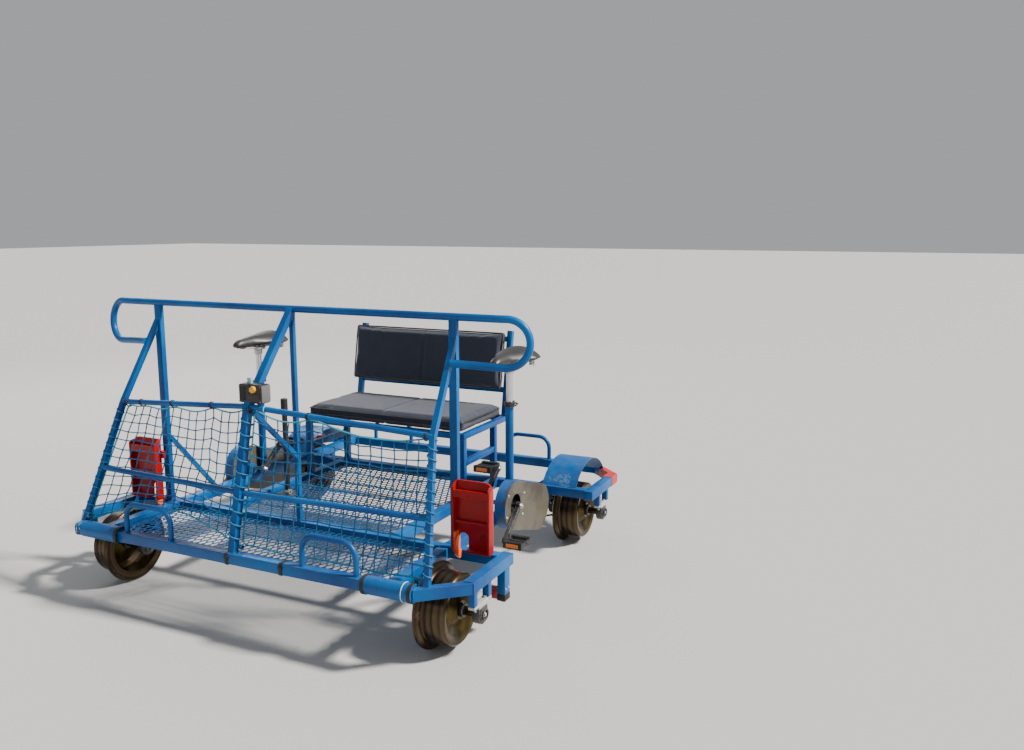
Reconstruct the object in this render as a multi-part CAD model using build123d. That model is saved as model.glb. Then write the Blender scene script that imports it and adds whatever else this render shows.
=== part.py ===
from build123d import *
import os
from math import atan2, cos, degrees, hypot, radians, sin, sqrt

# A pedal-driven railway handcar for four people, standing on its four flanged wheels.
# X is to the right seen from the front, -Y is forward, +Z is up.
# The origin is on the floor, under the middle of the frame. All sizes are in millimetres.

# Wheels
axle_height = 150.0
flange_radius = 150.0
tread_radius = 125.0
flange_inner_x = 692.0
gauge_face_x = 712.0
tread_outer_x = 800.0
rim_wall = 12.0
hub_radius = 32.0
stub_radius = 15.0
front_axle_y = -630.0
rear_axle_y = 560.0

# Frame of square tube
tube = 40.0
frame_top = 290.0
front_beam_y = -825.0
rear_beam_y = 825.0
front_cross_y = -440.0
rear_cross_y = 420.0
long_rail_x = 640.0
outer_rail_x = 870.0
floor_rail_x = 410.0
corner_beam_x = 745.0
corner_rail_y = 712.0

# Guard, posts and handlebar
post_x = 681.0
post_y = -449.0
post_wide = 30.0
post_deep = 22.0
handlebar_radius = 13.5
handlebar_height = 1116.0
loop_radius = 82.0
loop_sweep = 15.0
loop_tilt = 5.3
loop_bend = 131.0
loop_bend_x = 846.0
loop_turn = 183.5
loop_joint_x = 699.0
guard_tube = 20.0
guard_top_x = 686.0
guard_top_z = 1048.0
middle_tube = 26.0
centre_bar_x = -9.0
centre_bar_side = 18.0
rail_radius = 10.5
guard_kink_x = 703.0
kink_y = -637.0
kink_height = 738.0
middle_kink_x = -20.0
middle_kink_y = -697.0
middle_kink_height = 788.0
mid_rail_x = 742.0
mid_rail_y = -729.0
mid_rail_height = 489.0
middle_mid_x = -9.0
middle_mid_y = -763.0
middle_foot_x = -8.0
guard_foot_x = 770.0
guard_foot_y = -803.0

# Drive
crank_rise = 30.0
crank_height = frame_top + crank_rise
crank_length = 165.0
crank_axle_radius = 8.5
crank_plate = 18.0
inner_crank_x = 564.0
outer_crank_x = 722.0
crank_lean = 38.5
chainring_radius = 64.0
sprocket_radius = 28.0
chain_plane_x = 680.0
chain_height = 8.0
chain_width = 7.0
pedal_length = 78.0
pedal_width = 92.0
pedal_height = 26.0
spindle_radius = 6.0

# Fits
seat_gap = 0.3
running_gap = 0.08


def block(x0, x1, y0, y1, z0, z1):
    """A box between two corners."""
    middle = ((x0 + x1) / 2, (y0 + y1) / 2, (z0 + z1) / 2)
    return Pos(*middle) * Box(x1 - x0, y1 - y0, z1 - z0)


def bar(start, end, width, height=None):
    """A straight rectangular bar between two points, its width across, its height upwards."""
    start = Vector(*start)
    run = Vector(*end) - start
    across = run.cross(Vector(0, 0, 1))
    plane = Plane(origin=start, x_dir=across, z_dir=run)
    return extrude(plane * Rectangle(width, height or width), run.length)


def rod(start, end, radius):
    """A straight round rod between two points."""
    start = Vector(*start)
    run = Vector(*end) - start
    return extrude(Plane(origin=start, z_dir=run) * Circle(radius), run.length)


def both_sides(shape):
    """The shape and its mirror image on the other side of the middle plane."""
    return [shape, mirror(shape, about=Plane.YZ)]


def save(name, solids):
    """Writes one node."""
    shapes = solids if isinstance(solids, list) else [solids]
    parts = [solid for shape in shapes for solid in shape.solids()]
    export_step(parts[0] if len(parts) == 1 else Compound(children=parts), f"parts/{name}.step")


def beams():
    """The front and rear beams across the car."""
    half = tube / 2
    return [
        block(-corner_beam_x, corner_beam_x, y - half, y + half, frame_top - tube, frame_top)
        for y in (front_beam_y, rear_beam_y)
    ]


def cross_beams():
    """The two beams between the wheel bays, between the outer rails."""
    half = tube / 2
    reach = outer_rail_x - half
    return [
        block(-reach, reach, y - half, y + half, frame_top - tube, frame_top)
        for y in (front_cross_y, rear_cross_y)
    ]


def long_rails():
    """The rails along each side, in three bays between the beams."""
    half = tube / 2
    stops = (front_beam_y, front_cross_y, rear_cross_y, rear_beam_y)
    solids = []
    for start, end in zip(stops, stops[1:]):
        rail = block(
            long_rail_x - half, long_rail_x + half, start + half, end - half, frame_top - tube, frame_top
        )
        solids += both_sides(rail)
    return solids


def floor_rails():
    """The rails under the edges of the middle floor."""
    half = tube / 2
    rail = block(
        floor_rail_x - half, floor_rail_x + half, front_cross_y + half, rear_cross_y - half,
        frame_top - tube, frame_top,
    )
    return both_sides(rail)


rail_nose = 30.0


def outer_rails():
    """The short rails outside each wheel, past the ends of the cross-beams."""
    half = tube / 2
    solids = []
    for start, end in ((-corner_rail_y, front_cross_y + rail_nose + 2), (rear_cross_y - rail_nose, corner_rail_y)):
        rail = block(outer_rail_x - half, outer_rail_x + half, start, end, frame_top - tube, frame_top)
        solids += both_sides(rail)
    return solids


def corner_rails():
    """The bevelled corners that join the outer rails to the beams."""
    half = tube / 2
    solids = []
    for beam_y, rail_y in ((front_beam_y, -corner_rail_y), (rear_beam_y, corner_rail_y)):
        side = 1 if beam_y > 0 else -1
        outline = Polyline(
            (corner_beam_x, beam_y + side * half),
            (corner_beam_x, beam_y - side * half),
            (outer_rail_x - half, rail_y),
            (outer_rail_x + half, rail_y),
            close=True,
        )
        corner = extrude(Plane.XY.offset(frame_top - tube) * make_face(outline), tube)
        solids += both_sides(corner)
    return solids


def wheel(y, side, driven):
    """One flanged wheel on its stub axle: flange inside, closed dished disc outside."""
    profile = Polyline(
        (flange_inner_x, tread_radius - rim_wall),
        (flange_inner_x, flange_radius - 6),
        (flange_inner_x + 5, flange_radius),
        (flange_inner_x + 13, flange_radius),
        (gauge_face_x, tread_radius + 6),
        (gauge_face_x + 8, tread_radius),
        (tread_outer_x - 6, tread_radius - 2),
        (tread_outer_x, tread_radius - 8),
        (tread_outer_x, tread_radius - 20),
        (tread_outer_x - 24, 60),
        (tread_outer_x - 8, hub_radius + 6),
        (tread_outer_x, hub_radius),
        (tread_outer_x, stub_radius),
        (tread_outer_x - 50, stub_radius),
        (tread_outer_x - 50, hub_radius),
        (tread_outer_x - 36, 58),
        (tread_outer_x - 20, tread_radius - 20 - rim_wall),
        (tread_outer_x - 30, tread_radius - rim_wall),
        close=True,
    )
    body = revolve(Plane.XY * make_face(profile), Axis.X)
    stub = rod((long_rail_x - tube / 2 + 4, 0, 0), (outer_rail_x + tube / 2 - 4, 0, 0), stub_radius)
    shape = body + stub
    if driven:
        start = chain_plane_x - chain_width / 2 + 1.5
        end = chain_plane_x + chain_width / 2 - 1.5
        shape += rod((start, 0, 0), (end, 0, 0), sprocket_radius)
    shape = Pos(0, y, axle_height) * shape
    return shape if side > 0 else mirror(shape, about=Plane.YZ)


bearing_half_x = 13.0
bearing_radius = 34.0
bearing_base = 62.0
base_thick = 10.0
hanger_width = 22.0


def bearings(rail_x):
    """Pillow blocks under one pair of rails, each with its bore for the stub axle."""
    top = bearing_radius + base_thick
    solids = []
    for y in (front_axle_y, rear_axle_y):
        plane = Plane(origin=(rail_x - bearing_half_x, y, axle_height), x_dir=(0, 1, 0), z_dir=(1, 0, 0))
        face = Circle(bearing_radius)
        face += Pos(0, top / 2) * Rectangle(2 * bearing_radius - 8, top)
        face += Pos(0, top - base_thick / 2) * Rectangle(2 * bearing_base, base_thick)
        face -= Circle(stub_radius + running_gap)
        solids += both_sides(extrude(plane * face, 2 * bearing_half_x))
    return solids


def bearing_hangers():
    """The short legs between the rails and the pillow blocks."""
    top = frame_top - tube
    low = axle_height + bearing_radius + base_thick
    solids = []
    for rail_x in (long_rail_x, outer_rail_x):
        for y in (front_axle_y, rear_axle_y):
            for shift in (-bearing_base + hanger_width / 2, bearing_base - hanger_width / 2):
                leg = block(
                    rail_x - 12, rail_x + 12, y + shift - hanger_width / 2, y + shift + hanger_width / 2,
                    low, top,
                )
                solids += both_sides(leg)
    return solids


guard_leg_bottom = 125.0
guard_leg_wide = 30.0
pad_wide = 48.0
pad_high = 34.0
pad_rise = 4.0


def rail_guard_legs():
    """The legs that hang behind the front wheels."""
    y = front_cross_y
    inner = outer_rail_x - tube / 2
    leg = block(inner, inner + guard_leg_wide, y - tube / 2, y + tube / 2, guard_leg_bottom, frame_top - tube)
    return both_sides(leg)


def rail_guard_blocks():
    """Red blocks on the legs, just above the rail heads."""
    y = front_cross_y
    inner = outer_rail_x - tube / 2
    low = guard_leg_bottom + pad_rise
    pad = block(inner - pad_wide, inner, y - tube / 2, y + tube / 2, low, low + pad_high)
    return both_sides(pad)


floor_thick = 4.0
cell_long = 84.0
cell_short = 40.0
strand = 6.0


def expanded_metal(x0, x1, y0, y1, low):
    """A flat panel of diamond cells in staggered rows, whole cells only, with a plain edge."""
    middle_x, middle_y = (x0 + x1) / 2, (y0 + y1) / 2
    half_long = cell_long / 2 - strand
    half_short = cell_short / 2 - strand / 2
    columns = int((x1 - x0) / cell_long)
    rows = int((y1 - y0) / cell_short)
    holes = []
    for row in range(-rows, rows + 1):
        shift = 0.5 if row % 2 else 0.0
        y = middle_y + row * cell_short / 2
        for column in range(-columns, columns + 1):
            x = middle_x + (column + shift) * cell_long
            inside = x - half_long > x0 + strand and x + half_long < x1 - strand
            inside = inside and y - half_short > y0 + strand and y + half_short < y1 - strand
            if inside:
                corners = ((x - half_long, y), (x, y - half_short), (x + half_long, y), (x, y + half_short))
                holes.append(Wire(Polyline(*[(a, b, low) for a, b in corners], close=True)))
    corners = ((x0, y0), (x1, y0), (x1, y1), (x0, y1))
    outline = Wire(Polyline(*[(a, b, low) for a, b in corners], close=True))
    return extrude(Face(outline, holes), floor_thick, dir=(0, 0, 1))


def floors():
    """The two panels of expanded metal: one inside the guard, one under the feet."""
    half = tube / 2
    low = frame_top - half
    front = expanded_metal(
        -long_rail_x + half, long_rail_x - half, front_beam_y + half, front_cross_y - half, low
    )
    middle = expanded_metal(
        -floor_rail_x + half, floor_rail_x - half, front_cross_y + half, rear_cross_y - half, low
    )
    return [front, middle]


def handlebar():
    """The long round bar with a D-shaped loop at each end, swept back a little."""
    sweep_angle = radians(loop_sweep)
    tilt = radians(loop_tilt)
    out = Vector(cos(sweep_angle), sin(sweep_angle), 0)
    aside = Vector(-sin(sweep_angle), cos(sweep_angle), 0)
    up = Vector(0, 0, 1) * cos(tilt) + aside * sin(tilt)
    begin = Vector(0, post_y, handlebar_height)
    bend_start = Vector(loop_bend_x, post_y, handlebar_height)
    bend = []
    for angle in (sweep_angle / 2, sweep_angle):
        bend.append(bend_start + Vector(sin(angle), 1 - cos(angle), 0) * loop_bend)
    centre = bend[1] - up * loop_radius
    turn = []
    for share in (0.5, 1.0):
        angle = radians(loop_turn) * share
        turn.append(centre + (up * cos(angle) + out * sin(angle)) * loop_radius)
    angle = radians(loop_turn)
    heading = out * cos(angle) - up * sin(angle)
    last = turn[1] + heading * ((loop_joint_x - turn[1].X) / heading.X)
    path = Wire([
        Line(begin, bend_start),
        ThreePointArc(bend_start, bend[0], bend[1]),
        ThreePointArc(bend[1], turn[0], turn[1]),
        Line(turn[1], last),
    ])
    section = Plane(origin=begin, z_dir=(1, 0, 0)) * Circle(handlebar_radius)
    half = sweep(section, path)
    return half + mirror(half, about=Plane.YZ)


def posts():
    """The upright posts at the ends of the handlebar."""
    wide, deep = post_wide / 2, post_deep / 2
    post = block(post_x - wide, post_x + wide, post_y - deep, post_y + deep, frame_top, handlebar_height)
    return both_sides(post)


def centre_bar():
    """The thin upright in the middle."""
    half = centre_bar_side / 2
    return block(
        centre_bar_x - half, centre_bar_x + half, post_y - half, post_y + half, frame_top, handlebar_height
    )


def kinked_bar(points, side):
    """A square tube with one mitred bend."""
    path = Polyline(*points)
    run = Vector(*points[1]) - Vector(*points[0])
    plane = Plane(origin=points[0], x_dir=run.cross(Vector(1, 0, 0)), z_dir=run)
    return sweep(plane * Rectangle(side, side), path, transition=Transition.RIGHT)


def guard_tubes():
    """The slanted tubes at the two sides of the guard."""
    points = [
        (guard_top_x, post_y, guard_top_z),
        (guard_kink_x, kink_y, kink_height),
        (guard_foot_x, guard_foot_y, frame_top - 10),
    ]
    return both_sides(kinked_bar(points, guard_tube))


def middle_guard_tube():
    """The wider slanted tube in the middle."""
    points = [
        (centre_bar_x - 1, post_y, handlebar_height),
        (middle_kink_x, middle_kink_y, middle_kink_height),
        (middle_foot_x, front_beam_y, frame_top - 10),
    ]
    return kinked_bar(points, middle_tube)


def guard_rails():
    """The round rails across the guard: the upper pair rises to the middle, the lower pair is level."""
    upper = (middle_kink_x, middle_kink_y, middle_kink_height)
    lower = (middle_mid_x, middle_mid_y, mid_rail_height)
    solids = []
    for side in (-1, 1):
        solids.append(rod(upper, (side * guard_kink_x, kink_y, kink_height), rail_radius))
        solids.append(rod(lower, (side * mid_rail_x, mid_rail_y, mid_rail_height), rail_radius))
    return solids


def largest(shape):
    """The biggest solid that a cut leaves."""
    return max(shape.solids(), key=lambda solid: solid.volume)


brace_side = 16.0
brace_top = 553.0
brace_foot_y = -205.0


def braces():
    """The stays behind the posts, and the one behind the middle tube."""
    stay = bar((post_x - 13, post_y + 9, brace_top), (post_x - 31, brace_foot_y, frame_top - 20), brace_side)
    middle = bar(
        (middle_kink_x, middle_kink_y + 10, middle_kink_height - 12), (centre_bar_x, post_y, brace_top - 8),
        brace_side,
    )
    return both_sides(stay) + [middle]


grab_radius = 10.0
grab_corner = 55.0
grab_sides = 12
grab_places = (
    (front_beam_y, 296.0, 516.0, 401.0),
    (rear_beam_y, 284.0, 504.0, 398.0),
)


def grab_loops():
    """The hoops of round bar on the front and rear beams."""
    solids = []
    for y, inner, outer, top in grab_places:
        path = FilletPolyline(
            (inner, y, frame_top), (inner, y, top), (outer, y, top), (outer, y, frame_top), radius=grab_corner
        )
        section = Plane(origin=(inner, y, frame_top)) * RegularPolygon(grab_radius, grab_sides)
        solids += both_sides(sweep(section, path))
    return solids


sleeve_radius = 31.0
sleeve_reach = (556.0, 738.0)


def bumper_sleeves():
    """The round sleeves over the ends of the front beam."""
    start, end = sleeve_reach
    half = tube / 2 + seat_gap
    z = frame_top - tube / 2
    sleeve = rod((start, front_beam_y, z), (end, front_beam_y, z), sleeve_radius)
    hole = block(start - 1, end + 1, front_beam_y - half, front_beam_y + half, z - half, z + half)
    inner = sleeve - hole
    cut = block(start - 1, end + 1, front_beam_y + half, front_beam_y + sleeve_radius, z - half, z + sleeve_radius)
    return both_sides(inner - cut)


tray_width = 145.5
tray_front_y = -505.0
tray_back_y = -470.0
tray_low = 300.0
tray_rim = 530.0
tray_top = 551.0
tray_wall = 7.0
tray_back_wall = 8.0
tray_lip_z = (496.0, 522.0)
tray_rib_z = (401.0, 409.0)
notch_x = (14.0, 52.0)
notch_top = 362.0
fin_x = (7.0, 14.0)
fin_low = 264.0
lug_z = (470.0, 500.0)


def toe_guards():
    """The red moulded guards in front of the riders' feet: rim, lip, rib, notch and the foot below it."""
    x0 = post_x + post_wide / 2 + seat_gap
    x1 = x0 + tray_width
    side_view = Polyline(
        (tray_back_y, tray_low), (tray_front_y, tray_low), (tray_front_y, tray_rim),
        (tray_back_y - tray_back_wall, tray_top), (tray_back_y, tray_top), close=True,
    )
    plane = Plane(origin=(x0, 0, 0), x_dir=(0, 1, 0), z_dir=(1, 0, 0))
    shape = extrude(plane * make_face(side_view), x1 - x0)
    pocket_back = tray_back_y - tray_back_wall
    shape -= block(
        x0 + tray_wall, x1 - tray_wall, tray_front_y - 1, pocket_back, tray_low + tray_wall, tray_top + 1
    )
    lip_low, lip_high = tray_lip_z
    shape += block(x0 + tray_wall - 1, x1 - tray_wall + 1, tray_front_y + 2, tray_front_y + 9, lip_low, lip_high)
    rib_low, rib_high = tray_rib_z
    shape += block(x0 + tray_wall - 1, x1 - tray_wall + 1, pocket_back - 14, pocket_back + 1, rib_low, rib_high)
    round_top = Plane.XZ.offset(-tray_back_y - 5) * Pos((x0 + x1) / 2, (tray_low + tray_top) / 2) * Rectangle(
        x1 - x0, tray_top - tray_low
    )
    corners = round_top.vertices().sort_by(Axis.Z)[-2:].sort_by(Axis.X)
    round_top = fillet(corners[-1], 30)
    round_top = fillet(round_top.vertices().sort_by(Axis.X)[:2].sort_by(Axis.Z)[-1], 10)
    shape = shape & extrude(round_top, 60, both=True)
    left, right = x0 + notch_x[0], x0 + notch_x[1]
    radius = (right - left) / 2
    shape -= block(left, right, tray_front_y - 1, tray_back_y + 1, tray_low - 1, notch_top - radius)
    middle = (left + right) / 2
    shape -= rod(
        (middle, tray_front_y - 1, notch_top - radius), (middle, tray_back_y + 1, notch_top - radius), radius
    )
    seat = front_cross_y - tube / 2 - seat_gap
    fin_view = Polyline(
        (tray_back_y, notch_top), (tray_front_y + 5, notch_top - 26), (tray_front_y + 5, fin_low + 20),
        (tray_front_y + 30, fin_low), (seat, fin_low), (seat, frame_top + 2), (tray_back_y, frame_top + 10),
        close=True,
    )
    plane = Plane(origin=(x0 + fin_x[0], 0, 0), x_dir=(0, 1, 0), z_dir=(1, 0, 0))
    shape += extrude(plane * make_face(fin_view), fin_x[1] - fin_x[0])
    lug = block(post_x, x0 + tray_wall, tray_back_y - 6, post_y - post_deep / 2 - seat_gap, *lug_z)
    return both_sides(shape + lug)


guard_centre_y = 592.0
mudguard_radius = 230.0
mudguard_sheet = 2.5


def mudguards():
    """The arched sheets over the rear wheels."""
    y, outer = guard_centre_y, mudguard_radius
    x0, x1 = long_rail_x + 5, tread_outer_x + 5
    plane = Plane(origin=(x0, y, axle_height), x_dir=(0, 1, 0), z_dir=(1, 0, 0))
    ring = plane * (Circle(outer) - Circle(outer - mudguard_sheet))
    arch = extrude(ring, x1 - x0)
    arch -= block(x0 - 1, x1 + 1, y - outer - 1, y + outer + 1, axle_height - outer - 1, frame_top)
    return both_sides(arch)


case_front = 98.0
case_back_y = 240.0
case_back_z = 245.0
case_wall = 2.0
case_slot = 20.0
case_inner_x = 660.0
case_outer_x = 708.0


def chain_loop(radius_front, radius_back, x0, x1):
    """The solid inside a belt line round the chainring and the sprocket."""
    rise = crank_height - axle_height
    span = hypot(rear_axle_y, rise)
    lean = atan2(-rise, rear_axle_y)
    open_angle = degrees(acos_ratio(radius_front - radius_back, span))
    front = []
    for sign in (1, -1):
        angle = lean + sign * radians(open_angle)
        front.append((radius_front * cos(angle), crank_height + radius_front * sin(angle)))
    back = []
    for sign in (1, -1):
        angle = lean + sign * radians(open_angle)
        back.append((rear_axle_y + radius_back * cos(angle), axle_height + radius_back * sin(angle)))
    far_front = (radius_front * cos(lean + radians(180)), crank_height + radius_front * sin(lean + radians(180)))
    far_back = (rear_axle_y + radius_back * cos(lean), axle_height + radius_back * sin(lean))
    edges = [
        Line(front[0], back[0]),
        ThreePointArc(back[0], far_back, back[1]),
        Line(back[1], front[1]),
        ThreePointArc(front[1], far_front, front[0]),
    ]
    plane = Plane(origin=(x0, 0, 0), x_dir=(0, 1, 0), z_dir=(1, 0, 0))
    return extrude(plane * make_face(Wire(edges)), x1 - x0)


def acos_ratio(difference, span):
    """The angle between the line of centres and the radius to the tangent point."""
    return atan2(sqrt(span * span - difference * difference), difference)


def chains():
    """The drive chains, from the chainrings back to the rear wheels."""
    gap = 1.0
    x0 = chain_plane_x - chain_width / 2
    x1 = chain_plane_x + chain_width / 2
    outer = chain_loop(
        chainring_radius + gap + chain_height, sprocket_radius + gap + chain_height, x0, x1
    )
    inner = chain_loop(chainring_radius + gap, sprocket_radius + gap, x0 - 1, x1 + 1)
    return both_sides(outer - inner)


def stadium(radius, x0, x1):
    """A plate with two round ends, from the crank towards the rear axle."""
    lean = atan2(case_back_z - crank_height, case_back_y)
    length = hypot(case_back_y, case_back_z - crank_height)
    plane = Plane(origin=(x0, 0, crank_height), x_dir=(0, cos(lean), sin(lean)), z_dir=(1, 0, 0))
    slot = Pos(length / 2, 0) * SlotCenterToCenter(length, 2 * radius)
    return extrude(plane * slot, x1 - x0)


def chain_cases():
    """The hollow cases round the chainrings, open where the crank and the chain pass."""
    shape = stadium(case_front, case_inner_x, case_outer_x)
    shape -= stadium(case_front - case_wall, case_inner_x + case_wall, case_outer_x - case_wall)
    for x, radius in ((case_inner_x - 1, 30.0), (case_outer_x - case_wall - 1, 46.0)):
        shape -= rod((x, 0, crank_height), (x + case_wall + 2, 0, crank_height), radius)
    half = chain_width / 2 + 6
    shape -= block(
        chain_plane_x - half, chain_plane_x + half, case_back_y + case_slot, case_back_y + case_front + case_slot,
        case_back_z - case_front - case_slot, frame_top,
    )
    return both_sides(shape)


shell_radius = 20.0


def bottom_brackets():
    """The crank bearings on top of the long rails."""
    x0, x1 = long_rail_x - tube / 2 + 2, case_inner_x - 1
    shell = rod((x0, 0, crank_height), (x1, 0, crank_height), shell_radius)
    foot = block(x0, x1, -shell_radius, shell_radius, frame_top, crank_height)
    bore = rod((x0 - 1, 0, crank_height), (x1 + 1, 0, crank_height), crank_axle_radius + running_gap)
    return both_sides(shell + foot - bore)


ring_holes = 5
ring_hole_place = 40.0
ring_hole_radius = 13.0


def crank_set(side):
    """Crank axle, chainring, two opposite arms and their pedal spindles."""
    half = crank_plate / 2
    axle = rod((inner_crank_x - half, 0, 0), (outer_crank_x + half, 0, 0), crank_axle_radius)
    disc = Circle(chainring_radius)
    for turn in range(ring_holes):
        disc -= Rot(0, 0, 360 / ring_holes * turn) * Pos(ring_hole_place, 0) * Circle(ring_hole_radius)
    plane = Plane(origin=(chain_plane_x - 2, 0, 0), x_dir=(0, 1, 0), z_dir=(1, 0, 0))
    shape = axle + extrude(plane * disc, 4)
    lean = radians(crank_lean)
    for x, way in ((outer_crank_x, -1), (inner_crank_x, 1)):
        end = (x - half, way * crank_length * cos(lean), way * crank_length * sin(lean))
        shape += rod((x - half, 0, 0), (x + half, 0, 0), 17)
        shape += rod(end, (x + half, end[1], end[2]), 13)
        arm = bar((x, 0, 0), (x, end[1], end[2]), crank_plate - 2, 22)
        shape += arm
        out = 1 if x == outer_crank_x else -1
        shape += rod((x, end[1], end[2]), (x + out * (half + pedal_length), end[1], end[2]), spindle_radius)
    shape = Pos(0, 0, crank_height) * shape
    return shape if side > 0 else mirror(shape, about=Plane.YZ)


def pedal_place(outer):
    """Where a pedal's spindle runs, on the right side."""
    lean = radians(crank_lean)
    way = -1 if outer else 1
    y = way * crank_length * cos(lean)
    z = crank_height + way * crank_length * sin(lean)
    return y, z


def pedal(side, outer):
    """A pedal: a barrel on the spindle between two end plates and two tread bars."""
    y, z = pedal_place(outer)
    start = outer_crank_x + crank_plate / 2 + 3 if outer else inner_crank_x - crank_plate / 2 - 3 - pedal_length
    end = start + pedal_length
    body = rod((start, y, z), (end, y, z), 11)
    half = pedal_width / 2
    for bar_y in (y - half + 9, y + half - 9):
        body += block(start, end, bar_y - 9, bar_y + 9, z - pedal_height / 2, z + pedal_height / 2)
    for x in (start, end - 8):
        body += block(x, x + 8, y - half + 4, y + half - 4, z - 9, z + 9)
    body -= rod((start - 1, y, z), (end + 1, y, z), spindle_radius + running_gap)
    return body if side > 0 else mirror(body, about=Plane.YZ)


saddle_post_y = 85.0
sleeve_tube = 17.0
sleeve_top = 720.0
saddle_post_radius = 13.5
saddle_post_top = 880.0


def saddle_sleeves():
    """The upright tubes that carry the saddles."""
    tube_out = rod((long_rail_x, saddle_post_y, frame_top), (long_rail_x, saddle_post_y, sleeve_top), sleeve_tube)
    bore = rod(
        (long_rail_x, saddle_post_y, sleeve_top - 150), (long_rail_x, saddle_post_y, sleeve_top + 1),
        saddle_post_radius + running_gap,
    )
    return both_sides(tube_out - bore)


def saddle_posts():
    """The bare steel posts that slide in the sleeves."""
    return both_sides(
        rod((long_rail_x, saddle_post_y, sleeve_top - 130), (long_rail_x, saddle_post_y, saddle_post_top),
            saddle_post_radius)
    )


saddle_rows = (
    # place along the saddle, half width, height, rise of the underside at the edge
    (-150.0, 18.0, 24.0, 5.0),
    (-128.0, 24.0, 36.0, 8.0),
    (-60.0, 34.0, 44.0, 10.0),
    (0.0, 62.0, 49.0, 12.0),
    (55.0, 96.0, 55.0, 15.0),
    (100.0, 98.0, 57.0, 16.0),
    (122.0, 80.0, 44.0, 12.0),
)


def saddles():
    """The wide saddles, lofted from a narrow nose to a broad seat."""
    z0 = saddle_post_top + seat_gap
    sections = []
    for place, half, height, rise in saddle_rows:
        plane = Plane(origin=(long_rail_x, saddle_post_y + place, z0), x_dir=(1, 0, 0), z_dir=(0, -1, 0))
        edges = [
            Line((-half * 0.7, 0), (half * 0.7, 0)),
            Line((half * 0.7, 0), (half, rise)),
            ThreePointArc((half, rise), (0, height), (-half, rise)),
            Line((-half, rise), (-half * 0.7, 0)),
        ]
        sections.append(plane * make_face(Wire(edges)))
    return both_sides(loft(sections, ruled=True))


bench_x = 400.0
bench_tube = 25.0
bench_front_y = 130.0
seat_low = 555.0
seat_thick = 60.0
back_thick = 50.0
back_top = 940.0


bench_back_y = 538.0
back_run = 68.0
stay_height = 412.0


def bench_bars():
    """The bench's bars: legs and back posts, side rails and stays, and the rails across."""
    half = bench_tube / 2
    top = seat_low - seat_gap
    rear_y = rear_cross_y
    legs = []
    sides = []
    across = []
    inner = bench_x - half
    for x in (-bench_x, bench_x):
        legs.append(block(x - half, x + half, bench_front_y - half, bench_front_y + half, frame_top, top - bench_tube))
        legs.append(block(x - half, x + half, rear_y - half, rear_y + half, frame_top, top - bench_tube))
        legs.append(bar((x, bench_back_y, top), (x, bench_back_y + back_run, back_top), bench_tube))
        sides.append(
            block(x - half, x + half, bench_front_y - half, bench_back_y + half + 6, top - bench_tube, top)
        )
        sides.append(
            block(x - half, x + half, bench_front_y + half, rear_y - half, stay_height, stay_height + bench_tube)
        )
    for y in (bench_front_y, bench_back_y):
        across.append(block(-inner, inner, y - half, y + half, top - bench_tube, top))
    for share in (0.3, 0.9):
        y = bench_back_y + back_run * share
        z = top + (back_top - top) * share
        across.append(block(-inner, inner, y - 8, y + 8, z - 12, z + 12))
    trim = block(-outer_rail_x, outer_rail_x, bench_back_y - back_run, bench_back_y + back_run, top - tube, top)
    legs = [leg - trim if leg.center().Z > top else leg for leg in legs]
    return {"bench_legs": legs, "bench_side_rails": sides, "bench_cross_rails": across}


def seat_cushion():
    """The bench's seat cushion."""
    pad = block(
        -bench_x - 15, bench_x + 15, bench_front_y - 18, bench_back_y - 24, seat_low, seat_low + seat_thick
    )
    return fillet(pad.edges(), 14)


def back_cushion():
    """The bench's back cushion, leaning with the frame."""
    rise = back_top - seat_low + seat_gap
    lean = degrees(atan2(back_run, rise))
    pad = Box(2 * bench_x + 30, back_thick, rise - 95)
    pad = fillet(pad.edges(), 14)
    forward = bench_tube / 2 + seat_gap + back_thick / 2
    place = Pos(0, bench_back_y + back_run / 2, seat_low - seat_gap + rise / 2)
    return place * Rot(-lean, 0, 0) * Pos(0, -forward, 46) * pad


box_left = 38.0
box_wide = 103.0
box_deep = 50.0
box_high = 67.0
box_rise = 13.0
box_edge = 4.0
knob_radius = 11.0
knob_length = 12.0
knob_in = 33.0
knob_down = 16.0


def control_box():
    """The small black box with a knob on the middle tube."""
    left = middle_kink_x - box_left
    front = middle_kink_y - 3
    low = middle_kink_height + box_rise
    box = block(left, left + box_wide, front, front + box_deep, low, low + box_high)
    box = chamfer(box.edges(), box_edge)
    x, z = left + box_wide - knob_in, low + box_high - knob_down
    return box + rod((x, front - knob_length, z), (x, front + 1, z), knob_radius)


lever_x = -310.0
lever_y = -150.0
lever_side = 16.0
lever_height = 366.0
lever_foot_wide = 90.0
lever_foot_deep = 60.0
lever_foot_thick = 4.0
grip_radius = 14.0
grip_length = 55.0


def brake_lever():
    """The upright lever on its foot plate, with a black grip."""
    low = frame_top - tube / 2 + floor_thick
    wide, deep, half = lever_foot_wide / 2, lever_foot_deep / 2, lever_side / 2
    foot = block(lever_x - wide, lever_x + wide, lever_y - deep, lever_y + deep, low, low + lever_foot_thick)
    top = low + lever_height
    shaft = block(lever_x - half, lever_x + half, lever_y - half, lever_y + half, low, top)
    grip = rod((lever_x, lever_y, top), (lever_x, lever_y, top + grip_length), grip_radius)
    return foot + shaft + grip


net_thick = 6.0
net_clear = 0.8
net_columns = 6
net_rows = 3
net_strip = 9.0


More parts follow.
